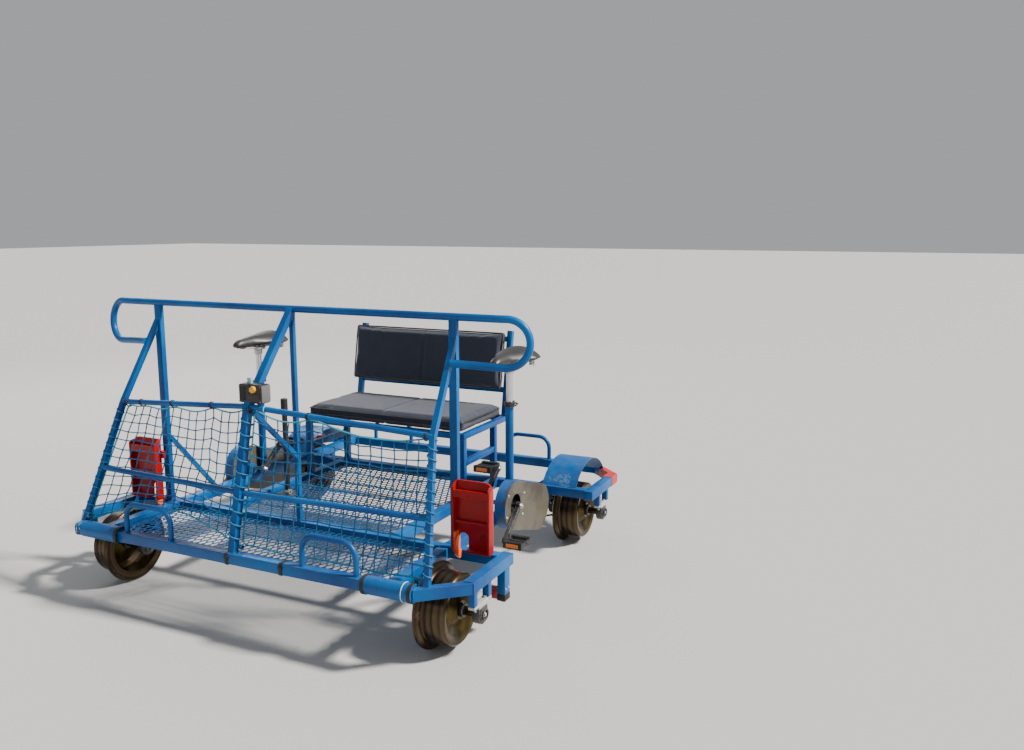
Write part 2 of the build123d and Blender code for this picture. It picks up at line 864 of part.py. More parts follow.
def net_openings(inner_top, inner_low, outer_top, outer_low):
    """A plain grid of openings through one panel, between strips of one width."""
    wide = abs(outer_top[0] - inner_top[0])
    high = inner_top[2] - inner_low[2]
    pitch_x = (wide - net_strip) / net_columns
    pitch_z = (high - net_strip) / net_rows
    holes = []
    for column in range(net_columns):
        for row in range(net_rows):
            corners = []
            for right, above in ((0, 0), (1, 0), (1, 1), (0, 1)):
                u = (column * pitch_x + (pitch_x if right else net_strip)) / wide
                v = (row * pitch_z + (pitch_z if above else net_strip)) / high
                inner_end = Vector(*inner_low) * (1 - v) + Vector(*inner_top) * v
                outer_end = Vector(*outer_low) * (1 - v) + Vector(*outer_top) * v
                point = inner_end * (1 - u) + outer_end * u
                corners.append((point.X, kink_y, point.Z))
            hole = make_face(Polyline(*corners, close=True))
            holes.append(extrude(hole, kink_y - front_beam_y, dir=(0, 1, 0), both=True))
    return holes


def net():
    """The net inside the guard, as four thin closed panels behind the rails: two a side."""
    behind = rail_radius + seat_gap + net_clear
    foot_y = front_beam_y + tube / 2 + seat_gap
    slope = (guard_foot_x - guard_kink_x) / (kink_height - frame_top)
    edge = guard_tube / 2 + 4
    solids = []
    for side in (-1, 1):
        inner_x = middle_foot_x + middle_tube / 2 + 3 if side > 0 else middle_kink_x - middle_tube / 2 - 3
        inner = (
            (middle_kink_y + behind + 3.2, middle_kink_height), (middle_mid_y + behind + 1.2, mid_rail_height),
            (foot_y, frame_top + seat_gap),
        )
        outer = (
            (kink_y + behind, kink_height), (mid_rail_y + behind + 0.6, mid_rail_height),
            (foot_y, frame_top + seat_gap),
        )
        for row in (0, 1):
            ends = []
            fronts = []
            for places, tilt in ((inner, 0.0), (outer, slope)):
                corners = []
                for (y, z), lift in ((places[row], -0.3 * row), (places[row + 1], 0.3 - 0.3 * row)):
                    x = side * (guard_kink_x - edge + tilt * (kink_height - z)) if tilt else inner_x
                    corners.append((x, y, z + lift))
                back = [(x, y + net_thick, z) for x, y, z in reversed(corners)]
                ends.append(make_face(Polyline(*corners, *back, close=True)))
                fronts.append(corners)
            panel = loft(ends, ruled=True)
            (inner_top, inner_low), (outer_top, outer_low) = fronts
            panel -= net_openings(inner_top, inner_low, outer_top, outer_low)
            solids.append(panel)
    return solids


def main():
    """Builds every node and writes it."""
    os.makedirs("parts", exist_ok=True)
    frame = beams()
    save("beams", frame)
    crosses = cross_beams()
    save("cross_beams", crosses)
    save("long_rails", long_rails())
    save("floor_rails", floor_rails())
    save("outer_rails", outer_rails())
    corners = corner_rails()
    save("corner_rails", corners)
    for row, y, driven in (("front", front_axle_y, False), ("rear", rear_axle_y, True)):
        for hand, side in (("left", -1), ("right", 1)):
            save(f"wheel_{row}_{hand}", wheel(y, side, driven))
    save("outer_bearings", bearings(outer_rail_x))
    save("inner_bearings", bearings(long_rail_x))
    save("bearing_hangers", bearing_hangers())
    save("rail_guard_legs", rail_guard_legs())
    save("rail_guard_blocks", rail_guard_blocks())
    save("floors", floors())
    bar_shape = handlebar()
    upright = posts()
    middle_bar = centre_bar() - bar_shape
    upright = [post - bar_shape for post in upright]
    slanted = [piece - upright - frame[0] - corners - bar_shape for piece in guard_tubes()]
    middle = middle_guard_tube() - bar_shape - middle_bar - frame[0]
    rails = [largest(rail - middle - slanted[0] - slanted[1]) for rail in guard_rails()]
    stays = [stay - upright[0] - upright[1] - middle - middle_bar for stay in braces()]
    below = block(-outer_rail_x, outer_rail_x, front_beam_y, rear_beam_y, frame_top - tube, frame_top)
    stays = [stay - below for stay in stays]
    save("handlebar", bar_shape - slanted[0] - slanted[1])
    save("posts", upright + [middle_bar])
    save("guard_tubes", slanted + [middle])
    save("guard_rails", rails)
    save("braces", stays)
    save("grab_loops", grab_loops())
    save("bumper_sleeves", bumper_sleeves())
    save("toe_guards", toe_guards())
    save("mudguards", mudguards())
    save("chains", chains())
    save("chain_cases", chain_cases())
    save("bottom_brackets", bottom_brackets())
    for hand, side in (("left", -1), ("right", 1)):
        save(f"crank_{hand}", crank_set(side))
        for place, outer in (("outer", True), ("inner", False)):
            save(f"pedal_{hand}_{place}", pedal(side, outer))
    save("saddle_sleeves", saddle_sleeves())
    save("saddle_posts", saddle_posts())
    save("saddles", saddles())
    for name, bars in bench_bars().items():
        save(name, bars)
    save("seat_cushion", seat_cushion())
    save("back_cushion", back_cushion())
    save("control_box", control_box() - middle)
    save("brake_lever", brake_lever())
    save("net", net())


main()
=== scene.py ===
import math
import random
import bmesh
import bpy
from mathutils import Matrix, Vector


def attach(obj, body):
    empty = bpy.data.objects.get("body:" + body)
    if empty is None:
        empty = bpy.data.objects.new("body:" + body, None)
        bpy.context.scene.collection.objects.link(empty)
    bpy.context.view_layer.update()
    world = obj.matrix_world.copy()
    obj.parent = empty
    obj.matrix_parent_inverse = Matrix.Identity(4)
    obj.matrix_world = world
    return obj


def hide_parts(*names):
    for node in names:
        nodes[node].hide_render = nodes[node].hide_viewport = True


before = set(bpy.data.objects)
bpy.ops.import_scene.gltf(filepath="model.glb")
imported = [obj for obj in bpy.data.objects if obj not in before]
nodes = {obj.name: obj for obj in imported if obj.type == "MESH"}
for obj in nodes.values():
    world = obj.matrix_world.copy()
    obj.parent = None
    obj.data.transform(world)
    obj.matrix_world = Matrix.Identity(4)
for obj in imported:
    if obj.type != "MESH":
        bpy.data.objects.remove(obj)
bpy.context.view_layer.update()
print("stage: frame loaded, %d nodes" % len(nodes))

# places that several pieces share, as the CAD model has them
sides = ((-1, "left"), (1, "right"))
axles = (("front", -0.630), ("rear", 0.560))
axleZ, innerX, outerX = 0.150, 0.640, 0.870  # height of the axles, and the two bearings of each
beamY, beamZ = -0.825, 0.270
chainX = 0.680
crank = {"z": 0.320, "arm": 0.165, "turn": math.radians(38.5)}
pedals = (("outer", 0.773, -1), ("inner", 0.513, 1))


def pedalAxis(way):
    # y and z of the pedal on a crank's outer (-1) or inner (1) arm
    reach = way * crank["arm"]
    return reach * math.cos(crank["turn"]), crank["z"] + reach * math.sin(crank["turn"])


# small tools used by every piece

def clearSelection():
    if bpy.context.object and bpy.context.object.mode != "OBJECT":
        bpy.ops.object.mode_set(mode="OBJECT")
    bpy.ops.object.select_all(action="DESELECT")


def activate(piece):
    clearSelection()
    piece.select_set(True)
    bpy.context.view_layer.objects.active = piece
    return piece


def editAll(piece):
    activate(piece)
    bpy.ops.object.mode_set(mode="EDIT")
    bpy.ops.mesh.select_all(action="SELECT")


def leaveEdit():
    bpy.ops.object.mode_set(mode="OBJECT")


def linked(name, data):
    thing = bpy.data.objects.new(name, data)
    bpy.context.scene.collection.objects.link(thing)
    return thing


def named(name):
    piece = bpy.context.object
    piece.name = name
    piece.data.name = name
    return piece


def settle(piece):
    # place goes into the mesh, and the object sits at the origin
    activate(piece)
    bpy.ops.object.transform_apply(location=True, rotation=True, scale=True)
    return piece


def joined(pieces, name):
    clearSelection()
    for piece in pieces:
        piece.select_set(True)
    bpy.context.view_layer.objects.active = pieces[0]
    if len(pieces) > 1:
        bpy.ops.object.join()
    return named(name)


def copied(piece):
    twin = piece.copy()
    twin.data = piece.data.copy()
    bpy.context.scene.collection.objects.link(twin)
    return twin


def movedCopy(piece, place, turn):
    twin = copied(piece)
    twin.data.transform(Matrix.Translation(place) @ turn)
    return twin


def mirrored(piece, name):
    # a copy on the other side of the middle plane
    twin = copied(piece)
    twin.name = twin.data.name = name
    twin.data.transform(Matrix.Scale(-1, 4, (1, 0, 0)))
    twin.data.flip_normals()
    return twin


def facing(way):
    # the turn that stands the Z axis along a direction
    return Vector(way).to_track_quat("Z", "Y").to_matrix().to_4x4()


def applyModifier(piece, kind, **settings):
    activate(piece)
    modifier = piece.modifiers.new(kind.lower(), kind)
    for key, value in settings.items():
        setattr(modifier, key, value)
    bpy.ops.object.modifier_apply(modifier=modifier.name)
    return piece


def smoothed(piece, angle=35):
    activate(piece)
    bpy.ops.object.shade_smooth_by_angle(angle=math.radians(angle))
    return piece


def outward(piece):
    editAll(piece)
    bpy.ops.mesh.remove_doubles(threshold=0.00002)
    bpy.ops.mesh.normals_make_consistent(inside=False)
    leaveEdit()
    return piece


def dressed(piece, look, body="chassis"):
    piece.data.materials.clear()
    piece.data.materials.append(finish[look])
    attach(piece, body)
    return piece


def pick(piece, test):
    # selects the faces that pass the test by place and direction, and stays in edit mode
    activate(piece)
    bpy.ops.object.mode_set(mode="EDIT")
    bpy.ops.mesh.select_mode(type="FACE")
    bpy.ops.mesh.select_all(action="DESELECT")
    leaveEdit()
    for face in piece.data.polygons:
        face.select = test(face.center, face.normal)
    bpy.ops.object.mode_set(mode="EDIT")


def startCube(name, matrix=None, size=1):
    clearSelection()
    bpy.ops.mesh.primitive_cube_add(size=size, location=(0, 0, 0))
    piece = named(name)
    if matrix is not None:
        piece.data.transform(matrix)
    return piece


def startRound(name, radius, depth, place=(0, 0, 0), axis="Z", steps=20, **ends):
    turn = {"X": (0, math.radians(90), 0), "Y": (math.radians(90), 0, 0), "Z": (0, 0, 0)}[axis]
    clearSelection()
    bpy.ops.mesh.primitive_cylinder_add(vertices=steps, radius=radius, depth=depth, location=place,
                                        rotation=turn, **ends)
    return settle(named(name))


def hexHead(radius, high, low):
    head = startRound("head", radius, high, (0, 0, low + high / 2), steps=6)
    pick(head, lambda centre, normal: normal.z > 0.9)
    bpy.ops.mesh.inset(thickness=radius * 0.14)
    bpy.ops.transform.translate(value=(0, 0, high * 0.14))
    bpy.ops.mesh.inset(thickness=radius * 0.34)
    bpy.ops.transform.translate(value=(0, 0, -high * 0.12))
    leaveEdit()
    return head


def shapedBlock(name, place, size, edge):
    # a small block, its two widest faces inset and raised a little, with rounded edges
    piece = startCube(name, Matrix.Translation(place) @ Matrix.Diagonal((*size, 1)))
    thin = min(range(3), key=lambda axis: size[axis])
    pick(piece, lambda centre, normal: abs(normal[thin]) > 0.9)
    bpy.ops.mesh.inset(thickness=edge * 0.9, depth=edge * 0.35, use_individual=True)
    leaveEdit()
    return applyModifier(piece, "BEVEL", width=edge * 0.7, segments=2, limit_method="ANGLE",
                         angle_limit=math.radians(40))


def tubeRing(name, place, axis, inner, outer, length, edge):
    # an open tube about one axis, with a wall and rounded rims
    ring = startRound(name, inner, length, place, axis, steps=28, end_fill_type="NOTHING")
    applyModifier(ring, "SOLIDIFY", thickness=outer - inner, offset=1)
    return applyModifier(ring, "BEVEL", width=edge, segments=2, limit_method="ANGLE")


def spunForm(name, rows, place, way, steps=20):
    # a disc drawn out ring by ring, each row a radius and a height, then stood along the given direction
    radius, height = rows[0]
    clearSelection()
    bpy.ops.mesh.primitive_circle_add(vertices=steps, radius=radius, fill_type="NGON",
                                      location=(0, 0, height))
    piece = settle(named(name))
    editAll(piece)
    for wide, high in rows[1:]:
        bpy.ops.mesh.extrude_region_move(TRANSFORM_OT_translate={"value": (0, 0, high - height)})
        bpy.ops.transform.resize(value=(wide / radius, wide / radius, 1), center_override=(0, 0, 0))
        radius, height = wide, high
    leaveEdit()
    outward(piece)
    piece.data.transform(Matrix.Translation(place) @ facing(way))
    return smoothed(piece, 35)


def wire(name, lines, radius, sides=1, closed=False):
    # one curve object of many round cords, made a mesh
    data = bpy.data.curves.new(name, "CURVE")
    data.dimensions = "3D"
    data.bevel_depth = radius
    data.bevel_resolution = sides
    data.resolution_u = 2
    data.use_fill_caps = True
    for points in lines:
        spline = data.splines.new("NURBS")
        spline.points.add(len(points) - 1)
        for target, point in zip(spline.points, points):
            target.co = (*point, 1)
        spline.use_cyclic_u = closed
        spline.order_u = 3
        spline.use_endpoint_u = not closed
    activate(linked(name, data))
    bpy.ops.object.convert(target="MESH")
    return smoothed(named(name), 60)


# camera, floor and light

cameraView = {"place": (2.178, -3.160, 1.434), "turnLeft": 25.2, "lookDown": 9.55, "lens": 31.87}
studio = {
    "floorTone": (0.46, 0.456, 0.448, 1), "skyTone": (0.93, 0.96, 1.0, 1), "skyStrength": 0.42,
    "sunPlace": (4.6, 1.5, 5.0), "sunSpread": 6.0, "sunPower": 8.2, "sunTone": (1.0, 0.96, 0.90),
    "fillPlace": (-1.0, -6.0, 3.0), "fillSize": 4.5, "fillPower": 30, "fillTone": (0.86, 0.93, 1.0),
    "rimPlace": (-4.5, 3.0, 3.5), "rimSize": 2.5, "rimPower": 70, "rimTone": (1, 1, 1),
}


def makeCamera():
    data = bpy.data.cameras.new("photoCamera")
    data.lens = cameraView["lens"]
    data.sensor_width = 36.0
    data.clip_start, data.clip_end = 0.05, 200.0
    camera = linked("photoCamera", data)
    camera.location = cameraView["place"]
    camera.rotation_euler = (
        math.radians(90 - cameraView["lookDown"]), 0, math.radians(cameraView["turnLeft"]))
    bpy.context.scene.camera = camera


def makeLamp(name, kind, key, aim):
    data = bpy.data.lights.new(name, kind)
    data.energy, data.color = studio[key + "Power"], studio[key + "Tone"]
    lamp = linked(name, data)
    place = Vector(studio[key + "Place"])
    lamp.location = place
    lamp.rotation_euler = (Vector(aim) - place).to_track_quat("-Z", "Y").to_euler()
    return data


def makeStudio():
    world = bpy.data.worlds.new("studioSky")
    bpy.context.scene.world = world
    world.use_nodes = True
    sky = world.node_tree.nodes["Background"]
    sky.inputs["Color"].default_value = studio["skyTone"]
    sky.inputs["Strength"].default_value = studio["skyStrength"]
    sun = makeLamp("softSun", "SUN", "sun", (0, 0, 0))
    sun.angle = math.radians(studio["sunSpread"])
    for key in ("fill", "rim"):
        lamp = makeLamp(key + "Lamp", "AREA", key, (0, 0, 0.5))
        lamp.shape, lamp.size = "DISK", studio[key + "Size"]
    clearSelection()
    bpy.ops.mesh.primitive_plane_add(size=90, location=(0, 0, 0))
    floor = named("studioFloor")
    paper = bpy.data.materials.new("paleFloor")
    paper.use_nodes = True
    shader = paper.node_tree.nodes["Principled BSDF"]
    shader.inputs["Base Color"].default_value = studio["floorTone"]
    shader.inputs["Roughness"].default_value = 0.85
    floor.data.materials.append(paper)


makeCamera()
makeStudio()
print("stage: camera, floor and light made")


# nodes of the shaders: short ways to place one, then the effects that several finishes share

def put(tree, kind, inputs=None, **settings):
    node = tree.nodes.new(kind)
    for key, value in settings.items():
        setattr(node, key, value)
    for key, value in (inputs or {}).items():
        if isinstance(value, bpy.types.NodeSocket):
            tree.links.new(value, node.inputs[key])
        else:
            node.inputs[key].default_value = value
    return node


def reckon(tree, operation, *values, clamp=False):
    inputs = dict(enumerate(values))
    return put(tree, "ShaderNodeMath", inputs, operation=operation, use_clamp=clamp).outputs[0]


def noiseAt(tree, vector, scale, detail, **more):
    inputs = {"Vector": vector, "Scale": scale, "Detail": detail, **more}
    return put(tree, "ShaderNodeTexNoise", inputs).outputs["Fac"]


def ranged(tree, value, low, high, toLow=0.0, toHigh=1.0):
    inputs = {"Value": value, "From Min": low, "From Max": high, "To Min": toLow, "To Max": toHigh}
    return put(tree, "ShaderNodeMapRange", inputs).outputs[0]


def partOf(tree, vector, axis):
    return put(tree, "ShaderNodeSeparateXYZ", {0: vector}).outputs[axis]


def vectorStep(tree, operation, *values, result="Vector"):
    return put(tree, "ShaderNodeVectorMath", dict(enumerate(values)), operation=operation).outputs[result]


def mixTone(tree, mask, first, second):
    # first shows where the mask is 0
    node = put(tree, "ShaderNodeMix", data_type="RGBA")
    tree.links.new(mask, node.inputs["Factor"])
    for socket, value in ((node.inputs["A"], first), (node.inputs["B"], second)):
        if isinstance(value, bpy.types.NodeSocket):
            tree.links.new(value, socket)
        else:
            socket.default_value = (*value, 1)
    return node.outputs["Result"]


def mixValue(tree, mask, low, high):
    return ranged(tree, mask, 0.0, 1.0, low, high)


def newGroup(name, result, **inputs):
    # a group of one output; the place is a vector, and so is a normal
    tree = bpy.data.node_groups.new(name, "ShaderNodeTree")
    tree.interface.new_socket("Vector", in_out="INPUT", socket_type="NodeSocketVector")
    for title, value in inputs.items():
        socket = tree.interface.new_socket(title, in_out="INPUT", socket_type="NodeSocketFloat")
        socket.default_value = value
    kind = "NodeSocketVector" if result == "Normal" else "NodeSocketFloat"
    tree.interface.new_socket(result, in_out="OUTPUT", socket_type=kind)
    return tree, tree.nodes.new("NodeGroupInput").outputs, tree.nodes.new("NodeGroupOutput").inputs[result]


def edgeWearGroup():
    # worn paint along sharp edges: where a rounded normal leaves the true one, broken up by noise
    tree, given, result = newGroup("edgeWear", "Mask", Radius=0.004, Scale=60.0, Amount=0.5)
    rounded = put(tree, "ShaderNodeBevel", {"Radius": given["Radius"]}, samples=4).outputs["Normal"]
    true = put(tree, "ShaderNodeNewGeometry").outputs["Normal"]
    away = reckon(tree, "SUBTRACT", 1.0, vectorStep(tree, "DOT_PRODUCT", rounded, true, result="Value"))
    noise = noiseAt(tree, given["Vector"], given["Scale"], 6.0, Roughness=0.65)
    broken = ranged(tree, noise, 0.58, 0.36, 0.0, 1.6)
    both = reckon(tree, "MULTIPLY", ranged(tree, away, 0.03, 0.2), broken)
    tree.links.new(reckon(tree, "MULTIPLY", both, given["Amount"], clamp=True), result)
    return tree


def patchGroup():
    # chips, scuffs and stains: soft islands with ragged borders
    tree, given, result = newGroup("wornPatches", "Mask", Scale=6.0, Cover=0.3, Ragged=40.0)
    large = noiseAt(tree, given["Vector"], given["Scale"], 3.0)
    small = noiseAt(tree, given["Vector"], given["Ragged"], 8.0, Roughness=0.7)
    blend = reckon(tree, "MULTIPLY_ADD", small, 0.45, large)
    step = reckon(tree, "SUBTRACT", blend, mixValue(tree, given["Cover"], 1.02, 0.46))
    tree.links.new(ranged(tree, step, 0.0, 0.05), result)
    return tree


def dustGroup():
    # pale dust on what faces up, thicker low down
    tree, given, result = newGroup("roadDust", "Mask", Amount=0.4, Height=0.45)
    surface = put(tree, "ShaderNodeNewGeometry").outputs["Normal"]
    up = ranged(tree, partOf(tree, surface, "Z"), -0.2, 1.0, 0.25, 1.0)
    low = ranged(tree, partOf(tree, given["Vector"], "Z"), given["Height"], 0.0, 0.12, 1.0)
    grain = ranged(tree, noiseAt(tree, given["Vector"], 22.0, 7.0), 0.35, 0.75)
    film = reckon(tree, "MULTIPLY", reckon(tree, "MULTIPLY", up, low), grain)
    tree.links.new(reckon(tree, "MULTIPLY", film, given["Amount"], clamp=True), result)
    return tree


def fineBumpGroup():
    # a fine uneven surface: brush drag in paint, grain in leather, pores in plastic
    tree, given, result = newGroup("fineBump", "Normal", Scale=200.0, Strength=0.1, Depth=0.0005)
    noise = noiseAt(tree, given["Vector"], given["Scale"], 4.0)
    bump = put(tree, "ShaderNodeBump",
               {"Strength": given["Strength"], "Distance": given["Depth"], "Height": noise})
    tree.links.new(bump.outputs["Normal"], result)
    return tree


groups = {"edge": edgeWearGroup(), "patch": patchGroup(), "dust": dustGroup(), "bump": fineBumpGroup()}


def useGroup(tree, key, vector, **values):
    return put(tree, "ShaderNodeGroup", {"Vector": vector, **values}, node_tree=groups[key]).outputs[0]


def newFinish(name, roughness=0.5, metallic=0.0, **sockets):
    material = bpy.data.materials.new(name)
    material.use_nodes = True
    tree = material.node_tree
    shader = tree.nodes["Principled BSDF"]
    for key, value in {"Roughness": roughness, "Metallic": metallic, **sockets}.items():
        shader.inputs[key].default_value = value
    return material, tree, shader.inputs, put(tree, "ShaderNodeTexCoord").outputs["Object"]


def feed(tree, sockets, **values):
    # links what the nodes work out to the shader's own sockets
    for title, value in values.items():
        tree.links.new(value, sockets["Base Color" if title == "Colour" else title])


paint = {
    "deep": (0.0002, 0.050, 0.205), "bright": (0.0006, 0.112, 0.340), "worn": (0.05, 0.27, 0.48),
    "primer": (0.10, 0.21, 0.31), "rust": (0.035, 0.022, 0.015), "dust": (0.22, 0.20, 0.18),
}


def bluePaint(name, chips=0.1, dust=0.12, wear=0.6, scuff=0.13, depth=1.0):
    material, tree, shader, place = newFinish(
        name, 0.40, **{"Coat Weight": 0.08, "Coat Roughness": 0.2, "Specular IOR Level": 0.22})
    spread = ranged(tree, noiseAt(tree, place, 3.5, 4.0), 0.35, 0.65)
    # depth below 1 darkens both tones of the paint: painted shade
    tone = mixTone(tree, spread, *([part * depth for part in paint[key]] for key in ("deep", "bright")))
    edge = useGroup(tree, "edge", place, Radius=0.0022, Scale=38.0, Amount=wear)
    tone = mixTone(tree, edge, tone, paint["worn"])
    rub = useGroup(tree, "patch", place, Scale=7.0, Cover=scuff, Ragged=70.0)
    tone = mixTone(tree, mixValue(tree, rub, 0.0, 0.6), tone, paint["primer"])
    chip = useGroup(tree, "patch", place, Scale=58.0, Cover=chips, Ragged=230.0)
    tone = mixTone(tree, chip, tone, paint["rust"])
    film = useGroup(tree, "dust", place, Amount=dust, Height=0.7)
    feed(tree, shader, Colour=mixTone(tree, film, tone, paint["dust"]),
         Roughness=mixValue(tree, film, 0.38, 0.8),
         Normal=useGroup(tree, "bump", place, Scale=140.0, Strength=0.2, Depth=0.0005))
    return material


steel = {
    "disc": ((0.032, 0.022, 0.008), (0.105, 0.074, 0.024)),
    "tread": ((0.016, 0.010, 0.006), (0.088, 0.062, 0.036)),
    "stain": (0.042, 0.026, 0.017), "treadFrom": 0.117, "treadFull": 0.121,
}


def turnedSteel(name, axleY):
    # polished and scored on the tread, dull and brassy on the disc
    material, tree, shader, place = newFinish(name, 0.35, 0.85)
    fromAxle = vectorStep(tree, "SUBTRACT", place, (0, axleY, axleZ))
    radius = vectorStep(tree, "LENGTH", vectorStep(tree, "MULTIPLY", fromAxle, (0, 1, 1)), result="Value")
    rings = put(tree, "ShaderNodeCombineXYZ", {"X": partOf(tree, place, "X"), "Y": radius}).outputs[0]
    stained = ranged(tree, noiseAt(tree, place, 16.0, 6.0), 0.3, 0.7)
    banded = ranged(tree, noiseAt(tree, rings, 75.0, 2.0), 0.36, 0.66)
    onTread = ranged(tree, radius, steel["treadFrom"], steel["treadFull"])
    brown, bright = mixTone(tree, stained, *steel["disc"]), mixTone(tree, banded, *steel["tread"])
    tone = mixTone(tree, onTread, brown, bright)
    rim = useGroup(tree, "patch", place, Scale=11.0, Cover=0.34, Ragged=90.0)
    bump = put(tree, "ShaderNodeBump", {"Strength": 0.35, "Distance": 0.0008,
                                        "Height": noiseAt(tree, rings, 190.0, 5.0)})
    feed(tree, shader, Colour=mixTone(tree, mixValue(tree, rim, 0.0, 0.75), tone, steel["stain"]),
         Roughness=mixValue(tree, rim, 0.3, 0.75), Metallic=mixValue(tree, rim, 0.9, 0.25),
         Normal=bump.outputs["Normal"])
    return material


def plainFinish(name, tone, second, roughness, metallic=0.0, wear=0.0, worn=(0.6, 0.6, 0.6), dust=0.2,
                grain=250.0, grainStrength=0.15, spots=0.0, spotTone=(0.1, 0.06, 0.04), **sockets):
    # two close tones, fine grain, worn edges and dust: the base of most small parts
    material, tree, shader, place = newFinish(name, roughness, metallic, **sockets)
    colour = mixTone(tree, noiseAt(tree, place, 18.0, 5.0), tone, second)
    if wear:
        edge = useGroup(tree, "edge", place, Radius=0.0025, Scale=90.0, Amount=wear)
        colour = mixTone(tree, edge, colour, worn)
    if spots:
        patches = useGroup(tree, "patch", place, Scale=14.0, Cover=spots, Ragged=120.0)
        colour = mixTone(tree, patches, colour, spotTone)
    film = useGroup(tree, "dust", place, Amount=dust, Height=0.6)
    feed(tree, shader, Colour=mixTone(tree, film, colour, paint["dust"]),
         Roughness=mixValue(tree, film, roughness, min(1.0, roughness + 0.35)),
         Normal=useGroup(tree, "bump", place, Scale=grain, Strength=grainStrength, Depth=0.0004))
    return material


def wovenFabric(name, tone, second, raised):
    # a tight canvas weave, read from the place on the piece
    material, tree, shader, place = newFinish(name, 0.82, **{"Sheen Weight": 0.25, "Sheen Roughness": 0.5})
    threads = [put(tree, "ShaderNodeTexWave", {"Vector": place, "Scale": 260.0, "Distortion": 0.6},
                   bands_direction=way).outputs["Fac"] for way in ("X", "DIAGONAL")]
    cloth = reckon(tree, "MULTIPLY", *threads)
    colour = mixTone(tree, noiseAt(tree, place, 5.0, 6.0), tone, second)
    colour = mixTone(tree, mixValue(tree, cloth, 0.0, 0.2), colour, raised)
    film = useGroup(tree, "dust", place, Amount=0.15, Height=1.4)
    bump = put(tree, "ShaderNodeBump", {"Strength": 0.3, "Distance": 0.0006, "Height": cloth})
    feed(tree, shader, Colour=mixTone(tree, film, colour, paint["dust"]), Normal=bump.outputs["Normal"])
    return material


def splitFinish(name, tone, other, plan, **sockets):
    # one moulded or pressed piece in two tones, split by place or by where a face looks; split by place,
    # the second tone is a painted sunlit glow on the toe guard's fin
    material, tree, shader, place = newFinish(name, plan["roughness"], **sockets)
    cloud = noiseAt(tree, place, 14.0, 6.0)
    first, second = mixTone(tree, cloud, *tone), mixTone(tree, cloud, *other)
    if plan["by"] == "side":
        looks = put(tree, "ShaderNodeTexCoord").outputs["Normal"]
        mask = ranged(tree, reckon(tree, "ABSOLUTE", partOf(tree, looks, "X")), 0.6, 0.8)
    else:
        mask = ranged(tree, partOf(tree, place, "Z"), plan["top"], plan["top"] - plan["fade"])
    # by place: the orange on the toe guard's fin is painted light, the fin's sunlit glow
    if plan["by"] == "place":
        across = reckon(tree, "ABSOLUTE", partOf(tree, place, "X"))
        inside = reckon(tree, "COMPARE", across, plan["middle"], plan["reach"])
        mask = reckon(tree, "MULTIPLY", inside, mask)
    colour = mixTone(tree, mask, first, second)
    edge = useGroup(tree, "edge", place, Radius=0.0022, Scale=60.0, Amount=plan["wear"])
    colour = mixTone(tree, edge, colour, plan["worn"])
    spots = useGroup(tree, "patch", place, Scale=12.0, Cover=plan["spots"], Ragged=110.0)
    colour = mixTone(tree, mixValue(tree, spots, 0.0, 0.7), colour, plan["spotTone"])
    film = useGroup(tree, "dust", place, Amount=plan["dust"], Height=0.6)
    feed(tree, shader, Colour=mixTone(tree, film, colour, paint["dust"]),
         Roughness=mixValue(tree, film, plan["roughness"], min(1.0, plan["roughness"] + 0.35)),
         Normal=useGroup(tree, "bump", place, Scale=300.0, Strength=0.12, Depth=0.0005))
    return material


